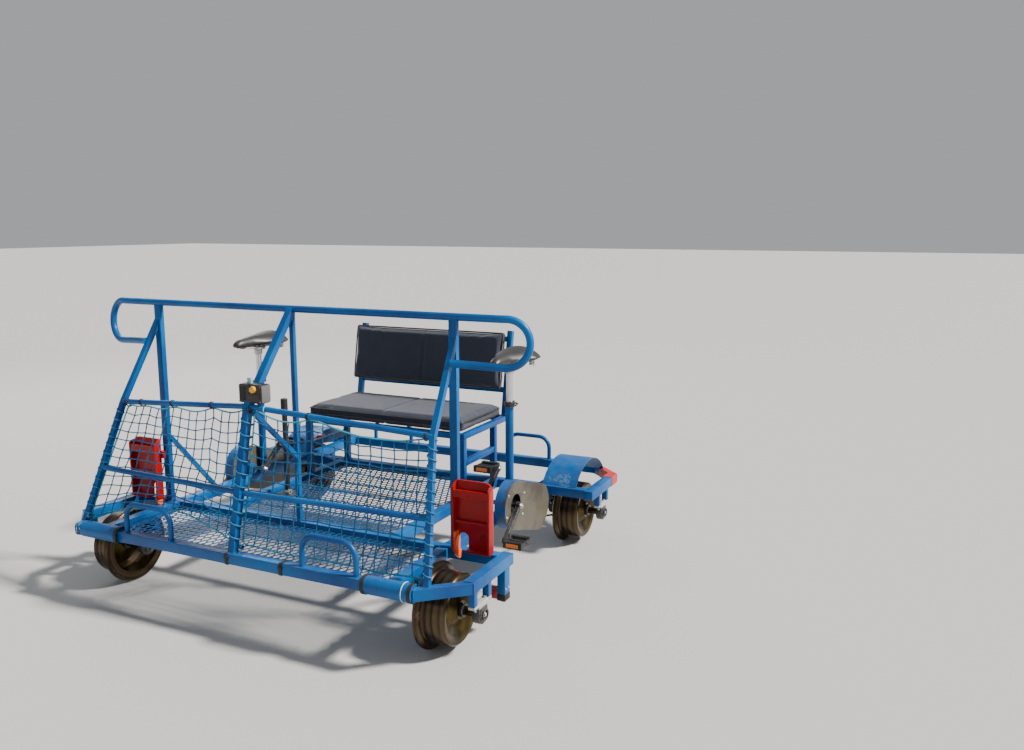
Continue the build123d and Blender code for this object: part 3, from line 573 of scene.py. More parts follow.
finish = {
    "blue": bluePaint("bluePaint"),
    "beam": bluePaint("bluePaintScuffed", chips=0.13, dust=0.18, wear=0.8, scuff=0.2),
    "guard": bluePaint("bluePaintRubbed", chips=0.14, dust=0.25, wear=0.6, scuff=0.42),
    # the floor mesh's paint at half depth is painted shade of the narrow strands, which turn away from the
    # sun
    "mesh": bluePaint("bluePaintMeshShaded", chips=0.08, dust=0.04, wear=0.3, scuff=0.08, depth=0.5),
    "casing": splitFinish(
        "chainCasePaint", (paint["deep"], paint["bright"]), ((0.045, 0.039, 0.028), (0.115, 0.10, 0.072)),
        {"by": "side", "roughness": 0.42, "wear": 0.6, "worn": (0.30, 0.29, 0.26), "spots": 0.42,
         "spotTone": (0.045, 0.035, 0.026), "dust": 0.3}),
    "bearing": splitFinish(
        "silverBearing", ((0.34, 0.35, 0.36), (0.52, 0.53, 0.54)),
        ((0.014, 0.013, 0.012), (0.040, 0.036, 0.032)),
        {"by": "height", "top": 0.180, "fade": 0.006, "roughness": 0.4, "wear": 0.5,
         "worn": (0.34, 0.33, 0.31), "spots": 0.4, "spotTone": (0.05, 0.045, 0.04), "dust": 0.3}),
    # the orange second tone is a painted sunlit glow on the fin, laid over the red moulding
    "guardRedLitFin": splitFinish(
        "redMouldingLitFin", ((0.23, 0.0002, 0.0008), (0.40, 0.0006, 0.0014)),
        ((0.95, 0.09, 0.008), (1.0, 0.15, 0.015)),
        {"by": "place", "middle": 0.7065, "reach": 0.0042, "top": 0.371, "fade": 0.008,
         "roughness": 0.33, "wear": 0.6, "worn": (0.62, 0.05, 0.035), "spots": 0.22,
         "spotTone": (0.12, 0.002, 0.003), "dust": 0.15},
        **{"Coat Weight": 0.06, "Coat Roughness": 0.2, "Specular IOR Level": 0.25}),
    "black": plainFinish("blackPaint", (0.012, 0.012, 0.014), (0.03, 0.028, 0.026), 0.5, wear=0.7,
                         worn=(0.25, 0.24, 0.23), dust=0.6, spots=0.3),
    "chrome": plainFinish("bareSteel", (0.62, 0.62, 0.62), (0.74, 0.74, 0.74), 0.22, 1.0, dust=0.1,
                          grain=600.0, grainStrength=0.05),
    "bolt": plainFinish("zincBolt", (0.5, 0.5, 0.49), (0.66, 0.65, 0.6), 0.35, 0.9, wear=0.3, dust=0.4,
                        spots=0.32),
    "chain": plainFinish("oilyChain", (0.05, 0.042, 0.035), (0.13, 0.11, 0.09), 0.32, 0.8, wear=0.8,
                         worn=(0.5, 0.47, 0.42), dust=0.25),
    "crank": plainFinish("crankSteel", (0.02, 0.02, 0.022), (0.05, 0.05, 0.052), 0.34, 0.4, wear=0.9,
                         worn=(0.55, 0.54, 0.52), dust=0.35),
    "plastic": plainFinish("blackPlastic", (0.005, 0.0055, 0.0065), (0.012, 0.013, 0.015), 0.48, wear=0.2,
                           worn=(0.12, 0.12, 0.12), dust=0.25, grain=900.0, grainStrength=0.2),
    "red": plainFinish("redPlastic", (0.24, 0.001, 0.002), (0.42, 0.003, 0.003), 0.33, wear=0.8,
                       worn=(0.6, 0.12, 0.09), spots=0.2, spotTone=(0.22, 0.01, 0.01),
                       grain=420.0, grainStrength=0.12, **{"Coat Weight": 0.15, "Coat Roughness": 0.2}),
    "orange": plainFinish("orangeReflector", (0.85, 0.16, 0.008), (1.0, 0.26, 0.015), 0.16, dust=0.15,
                          grain=700.0, grainStrength=0.5, **{"Coat Weight": 0.6}),
    "leather": plainFinish("blackLeather", (0.012, 0.012, 0.014), (0.03, 0.028, 0.028), 0.42, wear=0.5,
                           worn=(0.12, 0.11, 0.10), dust=0.35, grain=520.0, grainStrength=0.45),
    "fabric": wovenFabric("benchFabric", (0.006, 0.010, 0.026), (0.014, 0.021, 0.046), (0.07, 0.09, 0.14)),
    "cord": plainFinish("netCord", (0.001, 0.060, 0.19), (0.007, 0.185, 0.37), 0.62, dust=0.15,
                        grain=900.0, grainStrength=0.6),
    "rope": plainFinish("borderRope", (0.004, 0.145, 0.26), (0.035, 0.36, 0.48), 0.62,
                        grain=700.0, grainStrength=0.7),
    "lashing": plainFinish("lashingCord", (0.001, 0.070, 0.21), (0.006, 0.17, 0.34), 0.58, dust=0.12,
                           grain=800.0, grainStrength=0.7),
    "rubber": plainFinish("blackRubber", (0.004, 0.004, 0.0045), (0.011, 0.011, 0.0115), 0.6, wear=0.2,
                          worn=(0.10, 0.10, 0.10), dust=0.15, grain=500.0, grainStrength=0.3),
    "yellow": plainFinish("yellowKnob", (0.70, 0.31, 0.001), (0.80, 0.40, 0.004), 0.35, wear=0.4),
    "white": plainFinish("whitePlug", (0.70, 0.70, 0.68), (0.80, 0.80, 0.78), 0.5, dust=0.3),
    "grey": plainFinish("greyCover", (0.09, 0.088, 0.085), (0.16, 0.155, 0.145), 0.5, wear=0.4, dust=0.3),
    "clip": plainFinish("paleClip", (0.20, 0.36, 0.42), (0.34, 0.50, 0.56), 0.45, dust=0.15),
    "tape": plainFinish("redTape", (0.46, 0.004, 0.003), (0.62, 0.035, 0.024), 0.4, wear=0.3, dust=0.15,
                        spots=0.3, spotTone=(0.30, 0.03, 0.03)),
}
for row, axleY in axles:
    for side, hand in sides:
        finish[f"wheel_{row}_{hand}"] = turnedSteel(f"wheelSteel{row.title()}{hand.title()}", axleY)
print("stage: %d finishes made" % len(finish))


# CAD nodes keep their shape and get rounded edges and a finish

finishOf = {
    "beams": "beam", "corner_rails": "beam", "outer_rails": "beam", "bumper_sleeves": "beam",
    "mudguards": "guard", "outer_bearings": "bearing", "inner_bearings": "black",
    "rail_guard_blocks": "red", "toe_guards": "guardRedLitFin", "chains": "chain", "chain_cases": "casing",
    "crank_left": "crank", "crank_right": "crank", "saddle_posts": "chrome", "saddles": "leather",
    "control_box": "plastic", "brake_lever": "plastic",
}
roundedEdge = {
    0.003: ("beams", "cross_beams", "long_rails", "floor_rails", "outer_rails", "corner_rails",
            "rail_guard_blocks"),
    0.002: ("posts", "bench_legs", "bench_side_rails", "bench_cross_rails", "rail_guard_legs",
            "outer_bearings", "inner_bearings"),
    0.0015: ("toe_guards", "bearing_hangers"), 0.001: ("control_box",),
}


def finishNodes():
    widthOf = {name: width for width, names in roundedEdge.items() for name in names}
    for name, node in nodes.items():
        key = finishOf.get(name, "blue")
        if name.startswith("wheel_"):
            key = name
        if name.startswith("pedal_"):
            key = "plastic"
        for slot in node.material_slots:
            slot.material = finish[key]
        weld = node.modifiers.new("weld", "WELD")
        weld.merge_threshold = 0.00001
        if name in widthOf:
            bevel = node.modifiers.new("bevel", "BEVEL")
            bevel.width = widthOf[name]
            bevel.segments = 2
            bevel.limit_method = "ANGLE"
            bevel.angle_limit = math.radians(50)
            bevel.use_clamp_overlap = True
        for polygon in node.data.polygons:
            polygon.use_smooth = True
        split = node.modifiers.new("creases", "EDGE_SPLIT")
        split.split_angle = math.radians(32)


finishNodes()
print("stage: CAD nodes finished")


# floors of expanded metal: a grid of diamonds, inset, opened, tilted and thickened

floorPlan = {
    "cellX": 0.0285, "cellY": 0.0620, "strand": 0.0029, "thick": 0.0026, "lift": -0.0030, "low": 0.2712,
    "panels": {"floorFront": (-0.620, 0.620, -0.805, -0.460),
               "floorMiddle": (-0.390, 0.390, -0.420, 0.400)},
}


def makeFloorPanel(name, x0, x1, y0, y1):
    plan = floorPlan
    count = int((x1 - x0) / plan["cellX"] + (y1 - y0) / plan["cellY"]) + 3
    clearSelection()
    bpy.ops.mesh.primitive_grid_add(x_subdivisions=count, y_subdivisions=count, size=count,
                                    location=(0, 0, 0))
    panel = named(name)
    turned = Matrix.Rotation(math.radians(45), 4, "Z")
    stretch = Matrix.Diagonal((plan["cellX"] / math.sqrt(2), plan["cellY"] / math.sqrt(2), 1, 1))
    middle = Matrix.Translation(((x0 + x1) / 2, (y0 + y1) / 2, plan["low"]))
    panel.data.transform(middle @ stretch @ turned)
    editAll(panel)
    for place, way in (((x0, 0, 0), (-1, 0, 0)), ((x1, 0, 0), (1, 0, 0)), ((0, y0, 0), (0, -1, 0)),
                       ((0, y1, 0), (0, 1, 0))):
        bpy.ops.mesh.select_all(action="SELECT")
        bpy.ops.mesh.bisect(plane_co=place, plane_no=way, clear_outer=True)
    bpy.ops.mesh.select_all(action="SELECT")
    bpy.ops.mesh.inset(thickness=plan["strand"], use_individual=True, use_boundary=True)
    mesh = bmesh.from_edit_mesh(panel.data)
    for face in mesh.faces:
        if face.select:
            centre = face.calc_center_median()
            for vertex in face.verts:
                vertex.co.z += plan["lift"] * (vertex.co.x - centre.x) / (plan["cellX"] / 2)
    bmesh.update_edit_mesh(panel.data)
    bpy.ops.mesh.delete(type="FACE")
    leaveEdit()
    applyModifier(panel, "SOLIDIFY", thickness=plan["thick"], offset=0)
    return dressed(panel, "mesh")


panels = [makeFloorPanel(name, *place) for name, place in floorPlan["panels"].items()]
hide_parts("floors")
print("stage: floors made")


# the net, its border rope and its ties

netPlan = {
    "columns": 15, "rows": 12, "cord": 0.0022, "rope": 0.0031, "bump": 0.0036, "seed": 7, "shake": 0.0034,
    "innerTop": (-0.020, -0.681, 0.776), "outerTop": (0.688, -0.622, 0.728),
    "innerMid": (-0.009, -0.750, 0.489), "outerMid": (0.727, -0.716, 0.489),
    "innerLow": (-0.006, -0.796, 0.312), "outerLow": (0.752, -0.789, 0.306),
    "tubeGap": 0.018, "midAt": 0.6, "belly": 0.022, "sag": {-1: 0.020, 1: 0.026},
    "lift": {-1: 0.062, 1: -0.009}, "back": {-1: 0.045, 1: 0.014},
    "ties": {-1: (0.0, 0.27, 0.58, 0.84, 1.0), 1: (0.0, 0.34, 1.0)},
}


def netPoint(side, across, down):
    # across runs from the middle tube to the side tube, down from the upper rail to the front beam
    plan = netPlan
    start = Vector((side * plan["tubeGap"], 0, 0))
    inner = [Vector(plan["inner" + level]) + start for level in ("Top", "Mid", "Low")]
    outer = [Vector(plan["outer" + level]) for level in ("Top", "Mid", "Low")]
    for point in outer:
        point.x *= side
    top, middle, low = (a.lerp(b, across) for a, b in zip(inner, outer))
    split = plan["midAt"]
    if down < split:
        place = top.lerp(middle, down / split)
    else:
        place = middle.lerp(low, (down - split) / (1 - split))
    ties = plan["ties"][side]
    span = next(i for i in range(len(ties) - 1) if across <= ties[i + 1] + 1e-6)
    part = (across - ties[span]) / (ties[span + 1] - ties[span])
    wide = min(1.35, (ties[span + 1] - ties[span]) / 0.3)
    drop = plan["sag"][side] * wide * 4 * part * (1 - part) * (1 - down) ** 2
    belly = math.sin(math.pi * across)
    foot = belly * max(0.0, down - 0.6) / 0.4
    place.z += -drop + plan["lift"][side] * foot
    place.y += plan["belly"] * belly * math.sin(math.pi * min(1.0, down / 0.98))
    place.y += plan["back"][side] * foot
    return place


def netGrid(side, chance):
    plan = netPlan
    grid = []
    for i in range(plan["columns"] + 1):
        line = []
        for j in range(plan["rows"] + 1):
            point = netPoint(side, i / plan["columns"], j / plan["rows"])
            loose = 0.0 if i in (0, plan["columns"]) else 0.35 if j == 0 else 1.0
            shake = Vector((chance.uniform(-1, 1), chance.uniform(-0.6, 0.6), chance.uniform(-1, 1)))
            line.append(point + shake * plan["shake"] * loose)
        grid.append(line)
    return grid


def netKnot():
    # a small lump drawn out towards the four cords that leave it
    size = netPlan["bump"]
    knot = startCube("knot", Matrix.Rotation(0.4, 4, "Y"), 1.25 * size)
    pick(knot, lambda centre, normal: abs(normal.y) < 0.5)
    bpy.ops.mesh.inset(thickness=0.16 * size, depth=0.5 * size, use_individual=True)
    leaveEdit()
    return applyModifier(knot, "BEVEL", width=0.2 * size, segments=1, limit_method="NONE")


def makeNet(side, hand, chance):
    plan = netPlan
    columns, rows = plan["columns"], plan["rows"]
    grid = netGrid(side, chance)
    cross = [[line[j] for line in grid] for j in range(1, rows)]
    lines = []
    for line in grid[1:-1] + cross:
        fine = []
        for a, b in zip(line, line[1:]):
            sway = Vector((0, 0, -0.0016 * chance.random()))
            fine += [a, a.lerp(b, 0.5) + sway]
        lines.append(fine + [line[-1]])
    cords = wire("netCords" + hand, lines, plan["cord"])
    knot = netKnot()
    knots = [movedCopy(knot, grid[i][j], Matrix.Rotation(chance.uniform(0, 3), 4, "Y"))
             for i in range(1, columns) for j in range(1, rows)]
    bpy.data.objects.remove(knot)
    knots = smoothed(joined(knots, "netKnots" + hand), 80)
    border = [line[0] for line in grid] + grid[-1][1:]
    border += [grid[i][-1] for i in range(columns - 1, -1, -1)] + grid[0][-2:0:-1]
    rope = wire("netRope" + hand, [border], plan["rope"], closed=True)
    net = dressed(joined([cords, knots], "net" + hand), "cord")
    dressed(rope, "rope")
    if side < 0:
        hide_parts("net")
    makeLashings(side, hand, grid, chance)
    makeRailTies(side, hand)


lashPlan = {
    "cord": 0.0025, "turns": 13, "beamHalf": 0.0235,
    # the side tube from the rail to its bend, and the middle tube from the rail to the beam
    "high": (0.703, -0.637, 0.738), "kink": (0.770, -0.803, 0.280),
    "middleHigh": (-0.020, -0.697, 0.788), "middleLow": (-0.008, -0.825, 0.280),
    # place, size and loops of each knot; those at the side tube are mirrored
    "knots": (((0.752, -0.7935, 0.3085), 0.017, 4), ((0.724, -0.7985, 0.2985), 0.012, 3),
              ((0.700, -0.640, 0.722), 0.010, 3)),
}


def windRound(high, low, start, reachOut, edge, turns, radius, chance, steps=8):
    # a cord wound down a tube, pulled out to the net's edge once in each turn
    first, last = high.lerp(low, start), high.lerp(low, start + reachOut)
    level = high.lerp(low, start + reachOut * (first.z - edge.z) / (first.z - last.z))
    reach = edge - level
    reach.z = 0
    points = []
    for step in range(turns * steps + 1):
        centre = high.lerp(low, start + reachOut * step / (turns * steps))
        angle = 2 * math.pi * step / steps
        out = Vector((math.cos(angle), math.sin(angle), 0))
        pull = max(0.0, out.dot(reach.normalized())) ** 2
        size = radius * (1 + chance.uniform(-0.03, 0.05)) + (reach.length - radius) * pull
        points.append(centre + out * size + Vector((0, 0, chance.uniform(-0.0015, 0.0015))))
    return points


def tangle(centre, size, loops, chance):
    # a hand-tied knot: a few loose loops drawn over each other
    lines = []
    for loop in range(loops):
        tilt = Matrix.Rotation(chance.uniform(0, math.pi), 3, "X")
        tilt = tilt @ Matrix.Rotation(chance.uniform(0, math.pi), 3, "Y")
        wide, tall = size * chance.uniform(0.7, 1.0), size * chance.uniform(0.45, 0.8)
        line = []
        for step in range(9):
            angle = 2 * math.pi * step / 9
            flat = Vector((wide * math.cos(angle), tall * math.sin(angle),
                           0.2 * size * math.sin(2 * angle)))
            line.append(Vector(centre) + tilt @ flat)
        lines.append(line)
    return lines


def beamWinding(chance):
    # the rope's spare end, wound round the square beam by the left corner
    corners = ((1, 0.7), (0.7, 1), (-0.7, 1), (-1, 0.7), (-1, -0.7), (-0.7, -1), (0.7, -1), (1, -0.7))
    half = lashPlan["beamHalf"]
    lines = []
    for turn in range(4):
        x = -0.7415 - 0.0072 * turn
        lines.append([(x + chance.uniform(-1, 1) * 0.0012 - 0.002 * math.sin(step * math.pi / 4),
                       beamY + (half + 0.0012 * turn) * across, beamZ + half * up)
                      for step, (across, up) in enumerate(corners)])
    return lines + tangle((-0.748, -0.8505, 0.288), 0.011, 3, chance)


def makeLashings(side, hand, grid, chance):
    plan = lashPlan
    high, kink = Vector(plan["high"]), Vector(plan["kink"])
    middleHigh, middleLow = Vector(plan["middleHigh"]), Vector(plan["middleLow"])
    high.x *= side
    kink.x *= side
    coils = wire("netLashing" + hand, [
        windRound(high, kink, 0.02, 0.90, grid[-1][6], plan["turns"], 0.0165, chance),
        windRound(middleHigh, middleLow, 0.03, 0.86, grid[0][6], plan["turns"] - 3, 0.0205, chance),
    ], plan["cord"])
    knots = []
    for (x, y, z), size, loops in plan["knots"]:
        knots += tangle((x * side, y, z), size, loops, chance)
    knots += tangle((-0.008 + 0.021 * side, -0.803, 0.304), 0.011, 3, chance)
    if side < 0:
        knots += beamWinding(chance)
    ends = wire("netKnotEnds" + hand, knots, plan["cord"], closed=True)
    dressed(joined([coils, ends], "netLashing" + hand), "lashing")


def makeRailTies(side, hand):
    # short black ties hold the border rope under the upper rail
    railStart, railEnd = Vector(lashPlan["middleHigh"]), Vector(lashPlan["high"])
    railEnd.x *= side
    axis = (railEnd - railStart).normalized()
    turn = facing(axis).to_3x3()
    lines = []
    for share in netPlan["ties"][side][1:-1] + (0.965,):
        on = railStart.lerp(railEnd, share)
        low = netPoint(side, share, 0.0) - on
        for lap in (-0.0022, 0.0024):
            line = []
            for step in range(12):
                angle = 2 * math.pi * step / 12
                around = turn @ Vector((math.cos(angle), math.sin(angle), 0))
                pull = max(0.0, around.dot(low.normalized())) ** 3
                line.append(on + axis * (lap + 0.0016 * math.sin(angle))
                            + around * (0.0122 + (low.length - 0.008) * pull))
            lines.append(line)
    if side < 0:
        # the black cord's end is knotted where the middle tube meets the upper rails
        lines += tangle((-0.006, -0.7115, 0.777), 0.013, 3, random.Random(3))
    else:
        # one pale clip sits on the right upper rail, near the middle tube
        on = railStart.lerp(railEnd, 0.10)
        clip = [on + turn @ Vector((math.cos(step * math.pi / 5), math.sin(step * math.pi / 5), 0)) * 0.0126
                for step in range(10)]
        dressed(wire("railClip", [clip], 0.0011, closed=True), "white")
    dressed(wire("railTies" + hand, lines, 0.0015, closed=True), "rubber")


netChance = random.Random(netPlan["seed"])
for side, hand in sides:
    makeNet(side, hand.title(), netChance)
print("stage: net made")


# cushions of the bench: blown up by the cloth solver, then seamed

benchPlan = {
    "seat": {"place": (0, 0.313, 0.585), "size": (0.806, 0.378, 0.040), "cap": 0.012, "tilt": 0.0},
    "back": {"place": (0, 0.5195, 0.8105), "size": (0.806, 0.030, 0.266), "cap": 0.011, "tilt": 10.0},
    "voxel": 0.0065, "frames": 16, "pressure": 3.5, "sewnAt": -0.005, "sewnDeep": 0.16, "sewnWide": 0.006,
    "piping": 0.0034,
}


def blownPad(name, size, cap):
    pad = startCube(name, Matrix.Diagonal((*size, 1)))
    applyModifier(pad, "BEVEL", width=0.012, segments=3)
    applyModifier(pad, "REMESH", mode="VOXEL", voxel_size=benchPlan["voxel"])
    flat = [vertex.co.copy() for vertex in pad.data.vertices]
    activate(pad)
    cloth = pad.modifiers.new("cloth", "CLOTH")
    cloth.settings.use_pressure = True
    cloth.settings.uniform_pressure_force = benchPlan["pressure"]
    cloth.settings.effector_weights.gravity = 0
    cloth.point_cache.frame_start, cloth.point_cache.frame_end = 1, benchPlan["frames"]
    for step in range(1, benchPlan["frames"] + 1):
        bpy.context.scene.frame_set(step)
    bpy.ops.object.modifier_apply(modifier="cloth")
    bpy.context.scene.frame_set(1)
    thin = min(range(3), key=lambda axis: size[axis])
    for vertex, was in zip(pad.data.vertices, flat):
        away = vertex.co - was
        if away.length > cap:
            away *= cap / away.length
        vertex.co = was + away
    return pad, thin


def sewChannel(pad, thin):
    # a sewn line pulls the cover in on both faces
    for vertex in pad.data.vertices:
        pull = math.exp(-((vertex.co.x - benchPlan["sewnAt"]) / benchPlan["sewnWide"]) ** 2)
        vertex.co[thin] *= 1 - min(0.9, pull) * benchPlan["sewnDeep"]


def pipingLine(size, thin, level, inset, rounded=0.022):
    # a loop round the pad's edge, on its wide face
    first, second = (axis for axis in range(3) if axis != thin)
    points = []
    for cornerX, cornerY, start in ((1, 1, 0), (-1, 1, 90), (-1, -1, 180), (1, -1, 270)):
        for step in range(4):
            angle = math.radians(start + step * 30)
            point = Vector((0, 0, 0))
            point[first] = cornerX * (size[first] / 2 - inset - rounded) + rounded * math.cos(angle)
            point[second] = cornerY * (size[second] / 2 - inset - rounded) + rounded * math.sin(angle)
            point[thin] = level
            points.append(point)
    return points


def makeCushion(key, name, node):
    plan = benchPlan[key]
    size = plan["size"]
    pad, thin = blownPad(name, size, plan["cap"])
    sewChannel(pad, thin)
    applyModifier(pad, "SUBSURF", levels=1, render_levels=1)
    smoothed(pad, 70)
    bpy.context.view_layer.update()
    edges = []
    for way in (-1, 1):
        loop = []
        for point in pipingLine(size, thin, way * size[thin] * 0.42, -0.004):
            found, spot, normal, face = pad.closest_point_on_mesh(point)
            loop.append(spot + normal * 0.0012 if found else point)
        edges.append(loop)
    piping = wire(name + "Piping", edges, benchPlan["piping"], sides=2, closed=True)
    turn = Matrix.Rotation(math.radians(-plan["tilt"]), 4, "X")
    for piece, look in ((pad, "fabric"), (piping, "leather")):
        piece.data.transform(Matrix.Translation(plan["place"]) @ turn)
        dressed(piece, look)
    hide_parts(node)


makeCushion("seat", "benchSeat", "seat_cushion")
makeCushion("back", "benchBack", "back_cushion")
print("stage: bench cushions made")


# saddles: a soft cover over the lofted form, steel rails, springs and clamps

saddlePlan = {"voxel": 0.005, "rounds": 10, "rail": 0.0038, "spring": 0.0022, "coil": 0.0105, "turns": 5,
              "place": (0.640, 0.085, 0.880), "collarZ": 0.711}


def makeSaddles():
    plan = saddlePlan
    cover = copied(nodes["saddles"])
    cover.parent = None
    cover.matrix_world = Matrix.Identity(4)
    cover.modifiers.clear()
    for key in list(cover.keys()):
        del cover[key]
    cover.name = cover.data.name = "saddleCovers"
    applyModifier(cover, "WELD", merge_threshold=0.00005)
    applyModifier(cover, "REMESH", mode="VOXEL", voxel_size=plan["voxel"])
    applyModifier(cover, "SMOOTH", factor=0.5, iterations=plan["rounds"])
    smoothed(cover, 80)
    dressed(cover, "leather")
    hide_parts("saddles")


def makeSaddleIrons():
    # rails, clamp, springs and the sleeve collar under one saddle, then their mirror images
    plan = saddlePlan
    x, y, z = plan["place"]
    level, coil, steps = plan["collarZ"], plan["coil"], plan["turns"] * 8
    railPoints = ((0.006, -0.128, -0.001), (0.012, -0.105, -0.004), (0.022, -0.060, -0.0068),
                  (0.023, 0.010, -0.0068), (0.030, 0.055, -0.0048), (0.048, 0.088, -0.001))
    rails = [[(x + way * a, y + b, z + c) for a, b, c in railPoints] for way in (-1, 1)]
    irons = wire("saddleRails", rails, plan["rail"], sides=2)
    coils = [[(x + way * 0.056 + coil * math.cos(step * math.pi / 4),
               y + 0.094 + coil * math.sin(step * math.pi / 4),
               z - 0.020 + 0.026 * step / steps) for step in range(steps + 1)] for way in (-1, 1)]
    springs = wire("saddleSprings", coils, plan["spring"])
    clamp = shapedBlock("saddleClamp", (x, y, z - 0.0125), (0.064, 0.030, 0.0125), 0.003)
    cup = tubeRing("saddleCup", (x, y, z - 0.030), "Z", 0.0137, 0.0185, 0.026, 0.0015)
    collar = tubeRing("sleeveCollar", (x, y, level), "Z", 0.0172, 0.0215, 0.022, 0.0015)
    ears = shapedBlock("collarEars", (x, y + 0.029, level), (0.015, 0.016, 0.018), 0.002)
    lever = wire("collarLever", [[(x + 0.012, y + 0.031, level), (x + 0.022, y + 0.030, level),
                                  (x + 0.029, y + 0.018, level), (x + 0.031, y - 0.010, level - 0.002)]],
                 0.0036, sides=2)
    metal = joined([irons, springs, clamp, cup], "saddleIronsRight")
    grip = joined([collar, ears, lever], "sleeveCollarRight")
    for piece, name, look in ((metal, "saddleIronsLeft", "bolt"), (grip, "sleeveCollarLeft", "crank")):
        smoothed(piece, 40)
        for one in (piece, mirrored(piece, name)):
            dressed(one, look)


makeSaddles()
makeSaddleIrons()
print("stage: saddles made")


# fasteners: one bolt is modelled, then copied to its places

boltPlan = {"radius": 0.0068, "high": 0.0046, "washer": 0.0098, "thin": 0.0015}
bearingAt = [(side * x, y) for side in (-1, 1) for x in (innerX, outerX) for row, y in axles]
guardLeg = {"x": 0.865, "y": -0.440, "z": 0.1375}


def makeBolt():
    plan = boltPlan
    head = hexHead(plan["radius"], plan["high"], plan["thin"])
    washer = startRound("washer", plan["washer"], plan["thin"], (0, 0, plan["thin"] / 2))
    applyModifier(washer, "BEVEL", width=0.0004, segments=1)
    return joined([head, washer], "boltShape")


def bolted(name, places, body="chassis", look="bolt"):
    # each place is a point, the way the head faces and a size
    pieces = [movedCopy(boltShape, place, facing(way) @ Matrix.Diagonal((size, size, size, 1)))
              for place, way, size in places]
    return dressed(smoothed(joined(pieces, name), 25), look, body=body)


def makeFasteners():
    places = []
    for x, y in bearingAt:
        for shift in (-0.0345, 0.0345):
            places.append(((x, y + shift, 0.194), (0, 0, 1), 0.9))
            places.append(((x, y + shift, 0.184), (0, 0, -1), 0.8))
    bolted("bearingBolts", places)
    places = []
    for side in (-1, 1):
        for y in (-0.4510, -0.4290):
            places.append(((side * 0.880, y, 0.168), (side, 0, 0), 0.5))
        for angle in (20, 140, 200, 320):
            y, z = 0.086 * math.cos(math.radians(angle)), 0.086 * math.sin(math.radians(angle))
            places.append(((side * 0.708, y, crank["z"] + z), (side, 0, 0), 0.55))
        for x in (0.18, 0.36):
            for rail in (0.3, 0.9):
                y, z = 0.538 + 0.068 * rail + 0.008, 0.5547 + 0.3853 * rail
                places.append(((side * x, y, z), (0, 1, 0), 0.7))
    bolted("frameBolts", places)
    places = [((x, y, 0.278), (0, 0, 1), 0.7) for x in (-0.347, -0.273) for y in (-0.171, -0.129)]
    places += [((x, -0.700, z), (0, -1, 0), 0.42) for x in (-0.0515, 0.0385) for z in (0.8075, 0.8615)]
    bolted("fittingScrews", places, look="black")
    for side, hand in sides:
        places = [((side * x, 0, crank["z"]), (side * out, 0, 0), 1.15)
                  for x, out in ((0.731, 1), (0.555, -1))]
        places += [((side * x, *pedalAxis(way)), (side * way, 0, 0), 0.9)
                   for x, way in ((0.713, -1), (0.573, 1))]
        bolted("crankBolts" + hand.title(), places, body="crank_" + hand)
        for row, y in axles:
            bolted("axleEnd" + row.title() + hand.title(), [((side * 0.8858, y, axleZ), (side, 0, 0), 1.0)],
                   body=f"wheel_{row}_{hand}")


def makeGuardFootShadeAndGlint():
    # a black rubber cap over the foot of each rail guard's leg, painted shade of the leg's shaded lower
    # front, and a white plug under it, a painted highlight at the leg's sunlit tip
    rows = [(0.0078, 0.0), (0.0086, 0.0022), (0.0080, 0.0058), (0.0052, 0.0072)]
    for side, hand in sides:
        x, y, z = side * guardLeg["x"], guardLeg["y"], guardLeg["z"]
        cap = shapedBlock("guardFootShade" + hand.title(), (x, y, z), (0.0325, 0.0425, 0.024), 0.003)
        dressed(smoothed(cap, 30), "rubber")
        glintPlug = spunForm("guardPlugGlint" + hand.title(), rows, (x, y, z - 0.0153), (0, 0, -1), steps=16)
        dressed(glintPlug, "white")


boltShape = makeBolt()
makeFasteners()
makeGuardFootShadeAndGlint()


# bearings: insert ring, locking collar and grease nipple in each pillow block

bearingPlan = {
    "insertOut": 0.0265, "insertIn": 0.0163, "collarOut": 0.0205, "collarIn": 0.0153, "face": 0.013,
    "nipple": [(0.0042, 0.0), (0.0042, 0.003), (0.0024, 0.004), (0.0024, 0.007), (0.0034, 0.0085),
               (0.0022, 0.0105), (0.0008, 0.0108)],
}


def makeBearings():
    plan = bearingPlan
    rings, nipples = [], []
    for x, y in bearingAt:
        away = math.copysign(1, x) * (-1 if abs(x) < 0.7 else 1)
        face = x + away * plan["face"]
        rings.append(tubeRing("insert", (face + away * 0.0005, y, axleZ), "X", plan["insertIn"],
                              plan["insertOut"], 0.005, 0.0012))
        rings.append(tubeRing("lockCollar", (face + away * 0.0058, y, axleZ), "X", plan["collarIn"],
                              plan["collarOut"], 0.0085, 0.0012))
        nipples.append(spunForm("nipple", plan["nipple"], (x, y - 0.0295, 0.168), (0, -0.8, 0.6), steps=12))
    dressed(smoothed(joined(rings, "bearingInserts"), 30), "crank")
    dressed(smoothed(joined(nipples, "greaseNipples"), 40), "bolt")


makeBearings()
print("stage: bolts and bearings made")


# drive: roller chains, sprocket teeth and hub collars

chainPlan = {"links": 118, "front": (0.0, 0.320, 0.069), "rear": (0.560, 0.150, 0.033), "plate": 0.0039,
             "roller": 0.0040, "thin": 0.0009, "innerHalf": 0.0020, "outerHalf": 0.0030}
collarPlan = {"at": (0.7425, 0.8070), "inner": 0.0152, "outer": 0.0240, "length": 0.013}


